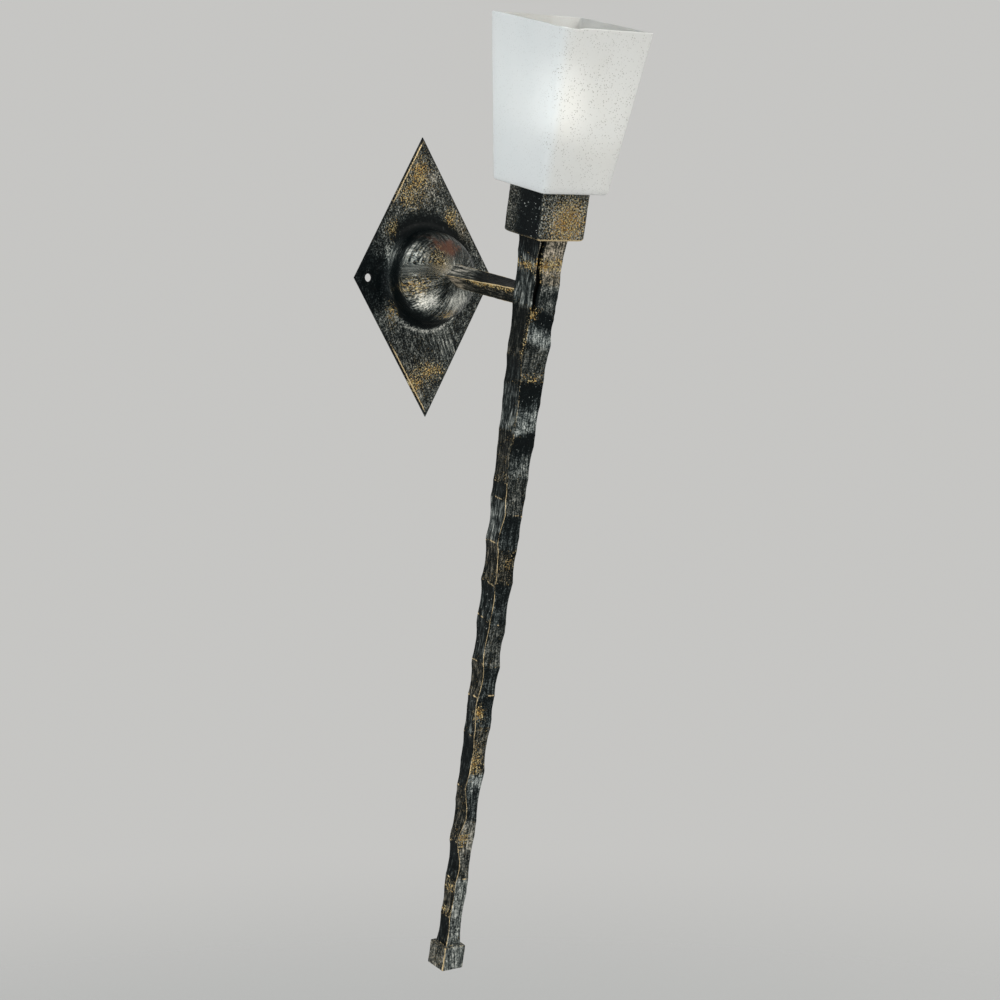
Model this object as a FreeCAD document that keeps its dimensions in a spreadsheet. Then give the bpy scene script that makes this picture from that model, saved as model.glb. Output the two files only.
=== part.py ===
"""Torch sconce: a hammered iron torch carried off a pressed rhombic wall plate, with a glass shade.

Row frame: origin in the wall plane at the plate's centre, +Z up, the light stands out towards -Y.
Torch frame: origin on the torch's axis at the underside of the collar, +Z up along the torch.
Arm frame: origin on the arm's axis at the dome's face, +Z along the arm away from the wall.
All lengths are in millimetres and all angles in degrees.
"""
import FreeCAD, Part
import math
import os

import Sketcher
from FreeCAD import Placement, Rotation, Vector

DRIVING_SIZES = (
    # wall plate
    ("plate_width", 156.0, "rhombus, corner to corner across"),
    ("plate_height", 256.0, "rhombus, corner to corner up"),
    ("plate_gauge", 2.0, "sheet thickness of the plate and its dome"),
    ("fixing_spacing", 126.0, "between the two wall screw holes"),
    ("fixing_hole", 7.5, "diameter of a wall screw hole"),
    ("dome_radius", 43.0, "outer radius of the pressed dome"),
    ("dome_centre", 8.0, "dome's centre, out from the wall"),
    ("flare_radius", 9.0, "concave press radius round the dome's foot"),
    # arm
    ("arm_side", 15.0, "square bar"),
    ("arm_bore", 9.2, "wire passage along the arm"),
    ("arm_drop", 9.9, "slope of the arm below level, degrees"),
    ("arm_root_height", 1.2, "arm's axis above the plate's centre, at the dome's face"),
    ("arm_root_roll", 45.0, "turn of the square at the dome, degrees"),
    ("arm_stem_roll", 14.0, "turn of the square at the stem, degrees"),
    # stem
    ("torch_reach", 165.0, "stem's axis from the wall, where the arm meets it"),
    ("torch_lean", 12.75, "torch's top leans off the wall, degrees"),
    ("arm_below_collar", 54.1, "from the collar down the stem to the arm's axis"),
    ("stem_length", 665.7, "collar to knob"),
    ("stem_head", 31.3, "side of the square at the collar"),
    ("stem_tip", 16.4, "side of the square at the knob"),
    ("stem_taper", 1.8, "power of the taper: 1 is straight, more is fuller above"),
    ("stem_wall", 3.6, "wall under the crests"),
    ("blow_pitch", 40.0, "length of a usual hammer dent"),
    ("blow_depth", 1.4, "depth of a full hammer dent"),
    ("seam_lip", 0.9, "edge of sheet left beside the open seam"),
    ("seam_width", 2.8, "open seam down the front edge, below the collar"),
    ("seam_depth", 2.4, "depth of the open seam"),
    ("seam_length", 64.0, "length of the open seam"),
    # knob
    ("knob_side", 23.3, "square block at the foot"),
    ("knob_height", 23.0, "height of the block"),
    ("knob_bevel", 0.8, "bevel along the block's edges"),
    ("tenon_clearance", 0.15, "each side of the tenon in the stem"),
    ("tenon_length", 12.0, "tenon standing up inside the stem"),
    # collar
    ("collar_side", 50.0, "square tube under the shade"),
    ("collar_wall", 2.0, "wall of that tube"),
    ("collar_corner", 1.6, "outer corner radius"),
    ("collar_tube_height", 39.0, "height of the tube above its floor"),
    ("floor_gauge", 3.0, "floor plate that closes the collar"),
    # shade
    ("gasket_gauge", 1.0, "soft ring between collar and glass"),
    ("shade_foot", 72.5, "outer side of the glass at its foot"),
    ("shade_mouth", 100.8, "outer side of the glass at its mouth"),
    ("shade_height", 142.0, "height of the glass"),
    ("shade_corner", 4.0, "outer corner radius of the glass"),
    ("shade_edge", 1.6, "easing of the edge round the foot"),
    ("glass_wall", 4.0, "wall of the glass"),
    ("glass_floor", 5.0, "floor of the glass"),
    ("glass_hole_gap", 1.0, "round the lampholder in the glass floor's hole"),
    # lampholder
    ("nipple_diameter", 10.0, "hollow threaded tube that carries the lampholder"),
    ("nipple_bore", 7.0, "bore of that tube"),
    ("nipple_below_floor", 3.0, "end of the tube inside the stem"),
    ("nut_across", 14.0, "across the flats of a lock nut"),
    ("nut_height", 4.0, "height of a lock nut"),
    ("holder_raise", 21.0, "lampholder's underside above the collar's underside"),
    ("cap_boss_height", 6.0, "threaded boss under the lampholder's cap"),
    ("cap_boss_radius", 9.0, "radius of the boss"),
    ("cap_height", 22.0, "lampholder's cap"),
    ("cap_radius", 19.5, "radius of the cap"),
    ("cap_wall", 2.0, "wall of the cap"),
    ("cap_overlap", 6.0, "cap's neck inside the shell"),
    ("shell_diameter", 40.0, "outside of the threaded shell"),
    ("shell_wall", 2.0, "wall of the shell"),
    ("shell_height", 42.0, "height of the shell"),
    ("insert_height", 8.0, "porcelain insert"),
    ("liner_wall", 0.4, "sheet of the lamp thread liner"),
    ("liner_height", 25.0, "height of the liner"),
    ("contact_rise", 3.7, "spring contact above the insert"),
    ("contact_width", 5.0, "width of the spring contact"),
    ("contact_gauge", 0.5, "sheet of the spring contact"),
    ("terminal_offset", 7.0, "lampholder terminals, each side of the axis"),
    ("terminal_width", 5.0, "lampholder terminal, across"),
    ("terminal_depth", 7.0, "lampholder terminal, front to back"),
    ("terminal_drop", 4.0, "lampholder terminal below the insert"),
    ("ring_diameter", 56.0, "flange of the shade ring"),
    ("ring_flange", 3.0, "thickness of that flange"),
    ("ring_height", 9.0, "height of the shade ring"),
    ("ring_skirt", 3.7, "wall of the ring above its flange"),
    ("ring_notch", 2.0, "radius of a finger notch"),
    # lamp
    ("lamp_cap_diameter", 26.2, "screw cap of the lamp"),
    ("lamp_cap_wall", 0.6, "sheet of the screw cap"),
    ("lamp_cap_height", 18.5, "height of the screw cap"),
    ("lamp_insulator_height", 5.3, "insulator under the screw cap"),
    ("lamp_contact_radius", 4.8, "end contact of the lamp"),
    ("lamp_diameter", 35.0, "candle lamp at its widest"),
    ("lamp_length", 103.0, "end contact to tip"),
    ("lamp_belly", 53.0, "end contact to the widest place"),
    ("lamp_tip_radius", 4.0, "rounding of the tip"),
    # inside the dome
    ("pole_pitch", 9.0, "terminal block, pole to pole"),
    ("block_height", 14.0, "terminal block along its wires"),
    ("block_depth", 14.0, "terminal block, off its bracket"),
    ("block_gap", 1.4, "slot between two poles"),
    ("block_top", -9.0, "top of the block, from the plate's centre"),
    ("tube_diameter", 5.0, "brass connector in a pole"),
    ("tube_bore", 2.6, "bore of the connector"),
    ("clamp_screw", 2.6, "diameter of a clamping screw"),
    ("bracket_gauge", 2.0, "strip across the dome that carries the block"),
    ("bracket_width", 12.0, "width of the strip"),
    ("bracket_out", 18.0, "strip's near face, out from the wall"),
    ("earth_offset", 24.0, "earth screw, across from the centre"),
    ("earth_screw_diameter", 4.0, "earth screw"),
    ("block_screw_diameter", 2.2, "screw that holds the block"),
    ("bush_flange", 15.0, "flange of the wire bush"),
    ("bush_bore", 6.4, "bore of the wire bush"),
    ("wire_diameter", 2.2, "insulated conductor"),
    ("wire_gap", 0.3, "between the two conductors"),
    # clearances
    ("slide_gap", 0.35, "between a part that slides and what it slides in"),
    ("seat_gap", 0.1, "round a fixed part in its hole"),
)

# Hammer marks on each face from the collar down: each dent's length, in hundredths of the usual one.
FULL_BLOW = 90
FRONT_BLOWS = (100, 80, 83, 62, 105, 118, 90, 80, 68, 95, 100, 73, 83, 110, 130, 140, 140)
LEFT_BLOWS = (38, 115, 115, 60, 108, 115, 38, 100, 95, 85, 103, 83, 90, 130, 133, 93, 93, 65)
RIGHT_BLOWS = (135, 95, 143, 95, 115, 98, 103, 113, 85, 128, 128, 158, 143, 118)
BACK_BLOWS = (113, 130, 130, 108, 118, 85, 100, 100, 100, 103, 130, 95, 85, 135, 125)
RING_NOTCHES = 12
POLES = (-1, 0, 1)
SIDES = (-1, 1)

DOC = FreeCAD.newDocument("torch_sconce")
SHEET = DOC.addObject("Spreadsheet::Sheet", "Sizes")


class Size:
    """A number together with the formula it comes from, so that it can be read and bound."""

    def __init__(self, number, formula):
        self.number = number
        self.formula = formula

    def __float__(self):
        return self.number

    def __add__(self, other):
        other = as_size(other)
        return Size(self.number + other.number, f"({self.formula} + {other.formula})")

    def __sub__(self, other):
        other = as_size(other)
        return Size(self.number - other.number, f"({self.formula} - {other.formula})")

    def __mul__(self, other):
        other = as_size(other)
        return Size(self.number * other.number, f"({self.formula} * {other.formula})")

    def __truediv__(self, other):
        other = as_size(other)
        return Size(self.number / other.number, f"({self.formula} / {other.formula})")

    def __radd__(self, other):
        return as_size(other) + self

    def __rsub__(self, other):
        return as_size(other) - self

    def __rmul__(self, other):
        return as_size(other) * self

    def __neg__(self):
        return Size(-self.number, f"(-{self.formula})")


def as_size(value):
    return value if isinstance(value, Size) else Size(float(value), repr(float(value)))


def square_root(size):
    return Size(math.sqrt(size.number), f"sqrt({size.formula})")


def fill_sheet():
    for row, (name, number, note) in enumerate(DRIVING_SIZES, start=1):
        SHEET.set(f"A{row}", name)
        SHEET.set(f"B{row}", str(number))
        SHEET.setAlias(f"B{row}", name)
        SHEET.set(f"C{row}", note)
    DOC.recompute()


def size(name):
    return Size(float(SHEET.get(name)), f"{SHEET.Name}.{name}")


def number(name):
    return size(name).number


def bind(thing, path, value):
    thing.setExpression(path, as_size(value).formula)


# ---------------------------------------------------------------- sketches and features

def new_body(name):
    body = DOC.addObject("PartDesign::Body", name)
    body.Label = name
    return body


def origin_plane(body, role):
    return [feature for feature in body.Origin.OriginFeatures if feature.Role == role][0]


def new_sketch(body, name, role="XY_Plane", offset=None, turn=None):
    """A sketch on one of the body's own planes, moved along its normal and turned about it."""
    sketch = body.newObject("Sketcher::SketchObject", name)
    sketch.AttachmentSupport = (origin_plane(body, role), "")
    sketch.MapMode = "FlatFace"
    if turn is not None:
        sketch.AttachmentOffset = Placement(Vector(), Rotation(Vector(0, 0, 1), 1.0))
        bind(sketch, "AttachmentOffset.Rotation.Angle", turn)
    if offset is not None:
        bind(sketch, "AttachmentOffset.Base.z", offset)
    return sketch


def bind_constraint(sketch, kind, *where, value):
    index = sketch.addConstraint(Sketcher.Constraint(kind, *where, float(value)))
    bind(sketch, f"Constraints[{index}]", value)


def pin_point(sketch, geometry, point, x, y):
    """Fix a sketch point at x, y from the sketch's origin."""
    for kind, axis, value in (("DistanceX", -2, x), ("DistanceY", -1, y)):
        if float(value) == 0.0:
            sketch.addConstraint(Sketcher.Constraint("PointOnObject", geometry, point, axis))
        else:
            bind_constraint(sketch, kind, -1, 1, geometry, point, value=value)


def arc_between(start, end, radius, side):
    """A short arc of the given radius whose centre lies to the named side of the way along it."""
    chord = end - start
    rise = math.sqrt(radius * radius - chord.Length * chord.Length / 4)
    across = Vector(-chord.y, chord.x, 0).normalize()
    across = across * (rise if side == "left" else -rise)
    centre = (start + end) * 0.5 + across
    first, last = (start, end) if side == "left" else (end, start)
    angles = [math.atan2(point.y - centre.y, point.x - centre.x) for point in (first, last)]
    circle = Part.Circle(centre, Vector(0, 0, 1), radius)
    return Part.ArcOfCircle(circle, angles[0], angles[1])


def outline(sketch, corners):
    """A closed outline. A corner is (x, y), or (x, y, radius, side) where an arc leaves it."""
    points = [Vector(float(corner[0]), float(corner[1]), 0) for corner in corners]
    first = sketch.GeometryCount
    ends = []
    for index, corner in enumerate(corners):
        start, end = points[index], points[(index + 1) % len(points)]
        if len(corner) == 2:
            sketch.addGeometry(Part.LineSegment(start, end), False)
            ends.append((1, 2))
        else:
            sketch.addGeometry(arc_between(start, end, float(corner[2]), corner[3]), False)
            ends.append((1, 2) if corner[3] == "left" else (2, 1))
    for index, corner in enumerate(corners):
        following = (index + 1) % len(corners)
        sketch.addConstraint(Sketcher.Constraint(
            "Coincident", first + index, ends[index][1], first + following, ends[following][0]))
        pin_point(sketch, first + index, ends[index][0], corner[0], corner[1])
        for radius in corner[2:3]:
            bind_constraint(sketch, "Radius", first + index, value=radius)


def circle(sketch, x, y, radius):
    centre = Vector(float(x), float(y), 0)
    index = sketch.addGeometry(Part.Circle(centre, Vector(0, 0, 1), float(radius)), False)
    bind_constraint(sketch, "Radius", index, value=radius)
    pin_point(sketch, index, 3, x, y)


def rectangle(sketch, left, low, right, high):
    outline(sketch, [(left, low), (right, low), (right, high), (left, high)])


def rounded_square(sketch, half, corner):
    inner = half - corner
    outline(sketch, [
        (-inner, -half), (inner, -half, corner, "left"), (half, -inner), (half, inner, corner, "left"),
        (inner, half), (-inner, half, corner, "left"), (-half, inner), (-half, -inner, corner, "left")])


def pad(body, sketch, length):
    feature = body.newObject("PartDesign::Pad", f"{body.Name}_pad")
    feature.Profile = sketch
    bind(feature, "Length", length)
    return feature


def pocket_through(body, sketch):
    feature = body.newObject("PartDesign::Pocket", f"{body.Name}_cut")
    feature.Profile = sketch
    feature.Type = "ThroughAll"
    feature.Midplane = True
    return feature


def revolve(body, sketch):
    feature = body.newObject("PartDesign::Revolution", f"{body.Name}_turned")
    feature.Profile = sketch
    feature.ReferenceAxis = (sketch, ["V_Axis"])
    feature.Angle = 360
    return feature


def loft(body, kind, sections):
    feature = body.newObject(f"PartDesign::{kind}Loft", f"{body.Name}_{kind.lower()}")
    feature.Profile = sections[0]
    feature.Sections = sections[1:]
    feature.Ruled = True
    return feature


def turned_body(name, corners, placement):
    """A body turned about its own Z from a half section of (radius, height) corners."""
    body = new_body(name)
    section = new_sketch(body, f"{name}_section", "XZ_Plane")
    outline(section, corners)
    revolve(body, section)
    body.Placement = placement
    return body


def cylinder(name, radius, height, placement):
    solid = DOC.addObject("Part::Cylinder", name)
    bind(solid, "Radius", radius)
    bind(solid, "Height", height)
    solid.Placement = placement
    return solid


def box(name, sides, placement):
    solid = DOC.addObject("Part::Box", name)
    for path, side in zip(("Length", "Width", "Height"), sides):
        bind(solid, path, side)
    solid.Placement = placement
    return solid


def ball(name, radius, placement):
    solid = DOC.addObject("Part::Sphere", name)
    bind(solid, "Radius", radius)
    solid.Placement = placement
    return solid


def cut(name, base, *tools):
    if len(tools) == 1:
        tool = tools[0]
    else:
        tool = fuse(f"{name}_cutters", *tools)
    result = DOC.addObject("Part::Cut", name)
    result.Base = base
    result.Tool = tool
    return result


def fuse(name, *shapes):
    result = DOC.addObject("Part::MultiFuse", name)
    result.Shapes = list(shapes)
    return result


def common(name, *shapes):
    result = DOC.addObject("Part::MultiCommon", name)
    result.Shapes = list(shapes)
    return result


def group(name, solids):
    result = DOC.addObject("Part::Compound", name)
    result.Links = list(solids)
    return result


# ---------------------------------------------------------------- frames

def dome_face_out():
    return size("dome_centre") + size("dome_radius")


def arm_frame():
    """Z runs along the arm, away from the wall and down; Y points up."""
    root = Vector(0, -float(dome_face_out()), number("arm_root_height"))
    return Placement(root, Rotation(Vector(1, 0, 0), 90 + number("arm_drop")))


def arm_length():
    """Along the arm's axis from the dome's face to the stem's axis."""
    reach = number("torch_reach") - float(dome_face_out())
    return reach / math.cos(math.radians(number("arm_drop")))


def torch_frame():
    """Z runs up the torch; its origin is on the underside of the collar."""
    turn = Rotation(Vector(1, 0, 0), number("torch_lean"))
    joint = arm_frame().multVec(Vector(0, 0, arm_length()))
    return Placement(joint + turn.multVec(Vector(0, 0, number("arm_below_collar"))), turn)


def in_frame(frame, x, y, z, turn=None):
    """A placement given in one of the frames, in the row frame."""
    return frame.multiply(Placement(Vector(float(x), float(y), float(z)), turn or Rotation()))


def facing(direction):
    return Rotation(Vector(0, 0, 1), Vector(*direction))


# ---------------------------------------------------------------- heights in the torch frame

def tube_foot():
    return size("floor_gauge")


def tube_top():
    return tube_foot() + size("collar_tube_height")


def glass_foot():
    return tube_top() + size("gasket_gauge")


def glass_hole_radius():
    return size("shell_diameter") / 2 + size("glass_hole_gap")


def glass_floor_top():
    return glass_foot() + size("glass_floor")


def shell_foot():
    return size("holder_raise") + size("cap_height") - size("cap_overlap")


def insert_foot():
    return size("holder_raise") + size("cap_height")


def insert_top():
    return insert_foot() + size("insert_height")


def lamp_foot():
    return insert_top() + size("contact_rise") + size("slide_gap")


def stem_half(depth):
    """Half the side of the stem's square at a depth below the collar."""
    left = max(0.0, 1 - depth / number("stem_length"))
    growth = (number("stem_head") - number("stem_tip")) * left ** number("stem_taper")
    return (number("stem_tip") + growth) / 2


# ---------------------------------------------------------------- wall plate

def make_wall_plate():
    gauge = size("plate_gauge")
    radius = size("dome_radius")
    centre = size("dome_centre")
    flare = size("flare_radius")
    flare_out = gauge + flare
    lift = flare_out - centre
    flare_edge = square_root((radius + flare) * (radius + flare) - lift * lift)
    share = radius / (radius + flare)
    inner_share = (radius - gauge) / (radius + flare)

    body = new_body("pressed_plate")
    rhombus = new_sketch(body, "plate_outline", "XZ_Plane")
    half_width = size("plate_width") / 2
    half_height = size("plate_height") / 2
    outline(rhombus, [(half_width, 0), (0, half_height), (-half_width, 0), (0, -half_height)])
    circle(rhombus, 0, 0, flare_edge)
    pad(body, rhombus, gauge)

    press = new_sketch(body, "dome_section", "XY_Plane")
    outline(press, [
        (0, -(centre + radius), radius, "left"),
        (flare_edge * share, -(centre + lift * share), flare, "right"),
        (flare_edge, -gauge),
        (flare_edge, 0, flare + gauge, "left"),
        (flare_edge * inner_share, -(centre + lift * inner_share), radius - gauge, "right"),
        (0, -(centre + radius - gauge))])
    revolve(body, press)

    fixings = new_sketch(body, "fixing_holes", "XZ_Plane")
    for side in SIDES:
        circle(fixings, side * size("fixing_spacing") / 2, 0, size("fixing_hole") / 2)
    pocket_through(body, fixings)

    passage = cylinder("dome_wire_hole", size("arm_bore") / 2, radius, in_frame(arm_frame(), 0, 0, -radius / 2))
    return cut("wall_plate", body, passage)


def dome_ball(name, radius):
    return ball(name, radius, Placement(Vector(0, -number("dome_centre"), 0), Rotation()))


# ---------------------------------------------------------------- stem and knob

def dents(blows):
    """Top, bottom and fullness of each dent down the stem; the list starts over if it runs out."""
    spans = []
    depth = 0.0
    while depth < number("stem_length"):
        blow = blows[len(spans) % len(blows)]
        length = number("blow_pitch") * blow / 100
        end = depth + length
        if number("stem_length") - end < 0.5 * length:
            end = number("stem_length")
        spans.append((depth, end, min(1.0, blow / FULL_BLOW)))
        depth = end
    return spans


def hammered_edge(blows, side):
    """Arcs down one side of the stem's profile, each hollowed between two crests."""
    arcs = []
    for top, bottom, fullness in dents(blows):
        start = Vector(side * stem_half(top), 0, -top)
        end = Vector(side * stem_half(bottom), 0, -bottom)
        hollow = Vector(-side * number("blow_depth") * fullness, 0, 0)
        arcs.append(Part.Arc(start, (start + end) * 0.5 + hollow, end))
    return arcs


def hammered_profile(name, low_blows, high_blows):
    """The stem seen square on one pair of faces, in the XZ plane."""
    low = hammered_edge(low_blows, -1)
    high = hammered_edge(high_blows, 1)
    top = Part.LineSegment(low[0].StartPoint, high[0].StartPoint)
    foot = Part.LineSegment(low[-1].EndPoint, high[-1].EndPoint)
    edges = [curve.toShape() for curve in (top, *high, foot, *low)]
    profile = DOC.addObject("Part::Feature", name)
    profile.Shape = Part.Face(Part.Wire(Part.__sortEdges__(edges)))
    return profile


def hammered_slab(name, profile, turn):
    """A profile drawn through the stem's depth; the turn brings it to its pair of faces."""
    slab = DOC.addObject("Part::Extrusion", name)
    slab.Base = profile
    slab.DirMode = "Custom"
    slab.Dir = Vector(0, 1, 0)
    bind(slab, "LengthFwd", 2 * size("stem_head"))
    slab.Symmetric = True
    slab.Solid = True
    slab.Placement = Placement(Vector(), Rotation(Vector(0, 0, 1), turn))
    return slab


def square_wire(half, z):
    corners = [Vector(-half, -half, z), Vector(half, -half, z), Vector(half, half, z), Vector(-half, half, z)]
    return Part.makePolygon(corners + corners[:1])


def placed_feature(name, shape, placement):
    feature = DOC.addObject("Part::Feature", name)
    feature.Shape = shape
    feature.Placement = placement
    return feature


def make_stem_bar():
    """The stem's outer form: two hammered slabs crossed at right angles."""
    across = hammered_slab("stem_across", hammered_profile("stem_front_view", LEFT_BLOWS, RIGHT_BLOWS), 0)
    through = hammered_slab("stem_through", hammered_profile("stem_side_view", FRONT_BLOWS, BACK_BLOWS), 90)
    bar = common("stem_bar", across, through)
    bar.Placement = torch_frame()
    return bar


def make_stem_hollow():
    """The smooth inside of the stem, which follows its taper."""
    stations = 8
    depths = [number("stem_length") * index / stations for index in range(stations + 1)]
    wires = [square_wire(stem_half(depth) - number("stem_wall"), -depth) for depth in depths]
    return placed_feature("stem_hollow", Part.makeLoft(wires, True, True), torch_frame())


def make_stem_seam():
    """The open seam beside the stem's front left edge, just below the collar."""
    wires = []
    for depth in (0.0, number("seam_length")):
        half = stem_half(depth)
        left = -half + number("seam_lip")
        right = left + number("seam_width")
        front = -half - number("seam_depth")
        back = -half + number("seam_depth")
        corners = [Vector(x, y, -depth) for x, y in ((left, front), (right, front), (right, back), (left, back))]
        wires.append(Part.makePolygon(corners + corners[:1]))
    return placed_feature("stem_seam", Part.makeLoft(wires, True, True), torch_frame())


def make_stem(bar):
    entry = cylinder("stem_wire_hole", size("arm_bore") / 2, size("stem_head"),
                     in_frame(arm_frame(), 0, 0, arm_length() - number("stem_head")))
    return cut("stem", bar, make_stem_hollow(), make_stem_seam(), entry)


def make_knob():
    body = new_body("stem_knob")
    foot = -(size("stem_length") + size("knob_height"))
    block = new_sketch(body, "knob_square", offset=foot)
    half = size("knob_side") / 2
    rectangle(block, -half, -half, half, half)
    solid = pad(body, block, size("knob_height"))
    DOC.recompute()
    bevel = body.newObject("PartDesign::Chamfer", "knob_bevels")
    bevel.Base = (solid, [f"Edge{index + 1}" for index in range(len(solid.Shape.Edges))])
    bind(bevel, "Size", size("knob_bevel"))
    tenon = new_sketch(body, "tenon_square", offset=-size("stem_length"))
    inner = size("stem_tip") / 2 - size("stem_wall") - size("tenon_clearance")
    rectangle(tenon, -inner, -inner, inner, inner)
    pad(body, tenon, size("tenon_length"))
    body.Placement = torch_frame()
    return body


# ---------------------------------------------------------------- arm

def make_arm(stem_bar):
    """A square bar that turns as it runs out, coped to the dome and to the stem's back."""
    body = new_body("arm_bar")
    half = size("arm_side") / 2
    start = -size("arm_side")
    length = arm_length()
    sections = []
    for index, share in enumerate((0.0, 0.5, 1.0)):
        roll = size("arm_root_roll") * (1 - share) + size("arm_stem_roll") * share
        section = new_sketch(body, f"arm_section_{index}", offset=start * (1 - share) + length * share, turn=roll)
        rectangle(section, -half, -half, half, half)
        sections.append(section)
    loft(body, "Additive", sections)
    body.Placement = arm_frame()
    passage = cylinder("arm_wire_bore", size("arm_bore") / 2, 2 * size("arm_side") + length,
                       in_frame(arm_frame(), 0, 0, -size("arm_side") * 2))
    dome = dome_ball("arm_coping_ball", size("dome_radius"))
    return cut("arm", body, passage, dome, stem_bar)


# ---------------------------------------------------------------- collar

def make_collar():
    body = new_body("collar")
    walls = new_sketch(body, "collar_outline", offset=tube_foot())
    half = size("collar_side") / 2
    rounded_square(walls, half, size("collar_corner"))
    inner = half - size("collar_wall")
    rectangle(walls, -inner, -inner, inner, inner)
    pad(body, walls, size("collar_tube_height"))
    body.Placement = torch_frame()
    return body


def make_collar_floor():
    body = new_body("collar_floor")
    plate = new_sketch(body, "floor_outline")
    rounded_square(plate, size("collar_side") / 2, size("collar_corner"))
    circle(plate, 0, 0, size("nipple_diameter") / 2 + size("seat_gap"))
    pad(body, plate, size("floor_gauge"))
    body.Placement = torch_frame()
    return body


def make_gasket():
    body = new_body("shade_gasket")
    ring = new_sketch(body, "gasket_outline", offset=tube_top())
    rounded_square(ring, size("collar_side") / 2 - size("collar_wall") / 4, size("collar_corner"))
    circle(ring, 0, 0, glass_hole_radius())
    pad(body, ring, size("gasket_gauge"))
    body.Placement = torch_frame()
    return body


# ---------------------------------------------------------------- lampholder

def make_nipple():
    inner = size("nipple_bore") / 2
    outer = size("nipple_diameter") / 2
    foot = -size("nipple_below_floor")
    top = size("holder_raise") + size("cap_boss_height")
    return turned_body("holder_nipple", [(inner, foot), (outer, foot), (outer, top), (inner, top)], torch_frame())


def make_nuts():
    """Two lock nuts: one on the collar's floor, one under the lampholder."""
    nuts = []
    for index, foot in enumerate((size("floor_gauge"), size("holder_raise") - size("nut_height"))):
        place = in_frame(torch_frame(), 0, 0, foot)
        blank = DOC.addObject("Part::Prism", f"nut_blank_{index}")
        blank.Polygon = 6
        bind(blank, "Circumradius", size("nut_across") / math.sqrt(3))
        bind(blank, "Height", size("nut_height"))
        blank.Placement = place
        hole = cylinder(f"nut_hole_{index}", size("nipple_diameter") / 2, size("nut_height"), place)
        nuts.append(cut(f"nut_{index}", blank, hole))
    return group("nipple_nuts", nuts)


def make_holder_cap():
    low = size("holder_raise")
    boss = size("cap_boss_radius")
    bore = size("nipple_diameter") / 2
    outer = size("cap_radius")
    wall = size("cap_wall")
    neck = size("shell_diameter") / 2 - size("shell_wall") - size("seat_gap")
    boss_top = low + size("cap_boss_height") / 2
    shoulder = low + size("cap_boss_height") + wall
    roof = low + size("cap_boss_height")
    return turned_body("holder_cap", [
        (bore, low), (boss, low), (boss, boss_top), (outer - wall, boss_top + wall), (outer, shoulder),
        (outer, shell_foot()), (neck, shell_foot()), (neck, insert_foot()), (neck - wall, insert_foot()),
        (neck - wall, shoulder), (boss, roof), (bore, roof)], torch_frame())


def make_holder_shell():
    outer = size("shell_diameter") / 2
    inner = outer - size("shell_wall")
    foot = shell_foot()
    top = foot + size("shell_height")
    return turned_body("holder_shell", [(inner, foot), (outer, foot), (outer, top), (inner, top)], torch_frame())


def make_insert():
    radius = size("shell_diameter") / 2 - size("shell_wall") - size("seat_gap")
    seat = liner_outer_radius() + 1
    step = insert_top() - size("insert_height") / 4
    return turned_body("holder_insert", [
        (0, insert_foot()), (radius, insert_foot()), (radius, step), (seat, step),
        (seat, insert_top()), (0, insert_top())], torch_frame())


def liner_outer_radius():
    return size("lamp_cap_diameter") / 2 + size("slide_gap") + size("liner_wall")


def make_liner():
    outer = liner_outer_radius()
    inner = outer - size("liner_wall")
    low = insert_top()
    floor = low + size("liner_wall")
    top = low + size("liner_height")
    lip = inner - 4 * size("contact_gauge")
    return turned_body("screw_shell", [
        (lip, low), (outer, low), (outer, top), (inner, top), (inner, floor), (lip, floor)], torch_frame())


def make_contact():
    """A strip on the insert with its free end sprung up to the lamp."""
    body = new_body("centre_contact")
    gauge = size("contact_gauge")
    low = insert_top()
    high = low + size("contact_rise")
    width = size("contact_width")
    side = new_sketch(body, "contact_side", "XZ_Plane", offset=-width / 2)
    outline(side, [
        (-width, low), (0, low), (width / 2, high - gauge), (width, high - gauge),
        (width, high), (width / 3, high), (-width / 6, low + gauge), (-width, low + gauge)])
    pad(body, side, width)
    body.Placement = torch_frame()
    return body


def make_holder_terminals():
    width, depth, drop = size("terminal_width"), size("terminal_depth"), size("terminal_drop")
    blocks = []
    for side in SIDES:
        corner = (side * size("terminal_offset") - width / 2, -depth / 2, insert_foot() - drop)
        blocks.append(box(f"holder_terminal_{side + 1}", (width, depth, drop), in_frame(torch_frame(), *corner)))
    return group("holder_terminals", blocks)


def make_holder_screws():
    radius = size("clamp_screw") / 2
    screws = []
    for side in SIDES:
        seat = in_frame(torch_frame(), side * size("terminal_offset"), -size("terminal_depth") / 2,
                        insert_foot() - size("terminal_drop") / 2, facing((0, -1, 0)))
        screws.append(cylinder(f"holder_screw_{side + 1}", radius, size("clamp_screw"), seat))
    return group("holder_screws", screws)


def make_shade_ring():
    inner = size("shell_diameter") / 2 + size("slide_gap")
    foot = glass_floor_top()
    flange = foot + size("ring_flange")
    top = foot + size("ring_height")
    outer = size("ring_diameter") / 2
    body = turned_body("shade_ring", [
        (inner, foot), (outer, foot), (outer, flange), (inner + size("ring_skirt"), flange),
        (inner + size("ring_skirt"), top), (inner, top)], torch_frame())
    notch = new_sketch(body, "ring_notch_outline")
    circle(notch, outer, 0, size("ring_notch"))
    cutter = pocket_through(body, notch)
    pattern = body.newObject("PartDesign::PolarPattern", "ring_notches")
    pattern.Originals = [cutter]
    pattern.Axis = (notch, ["N_Axis"])
    pattern.Angle = 360
    pattern.Occurrences = RING_NOTCHES
    body.Tip = pattern
    return body


# ---------------------------------------------------------------- glass shade

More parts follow.
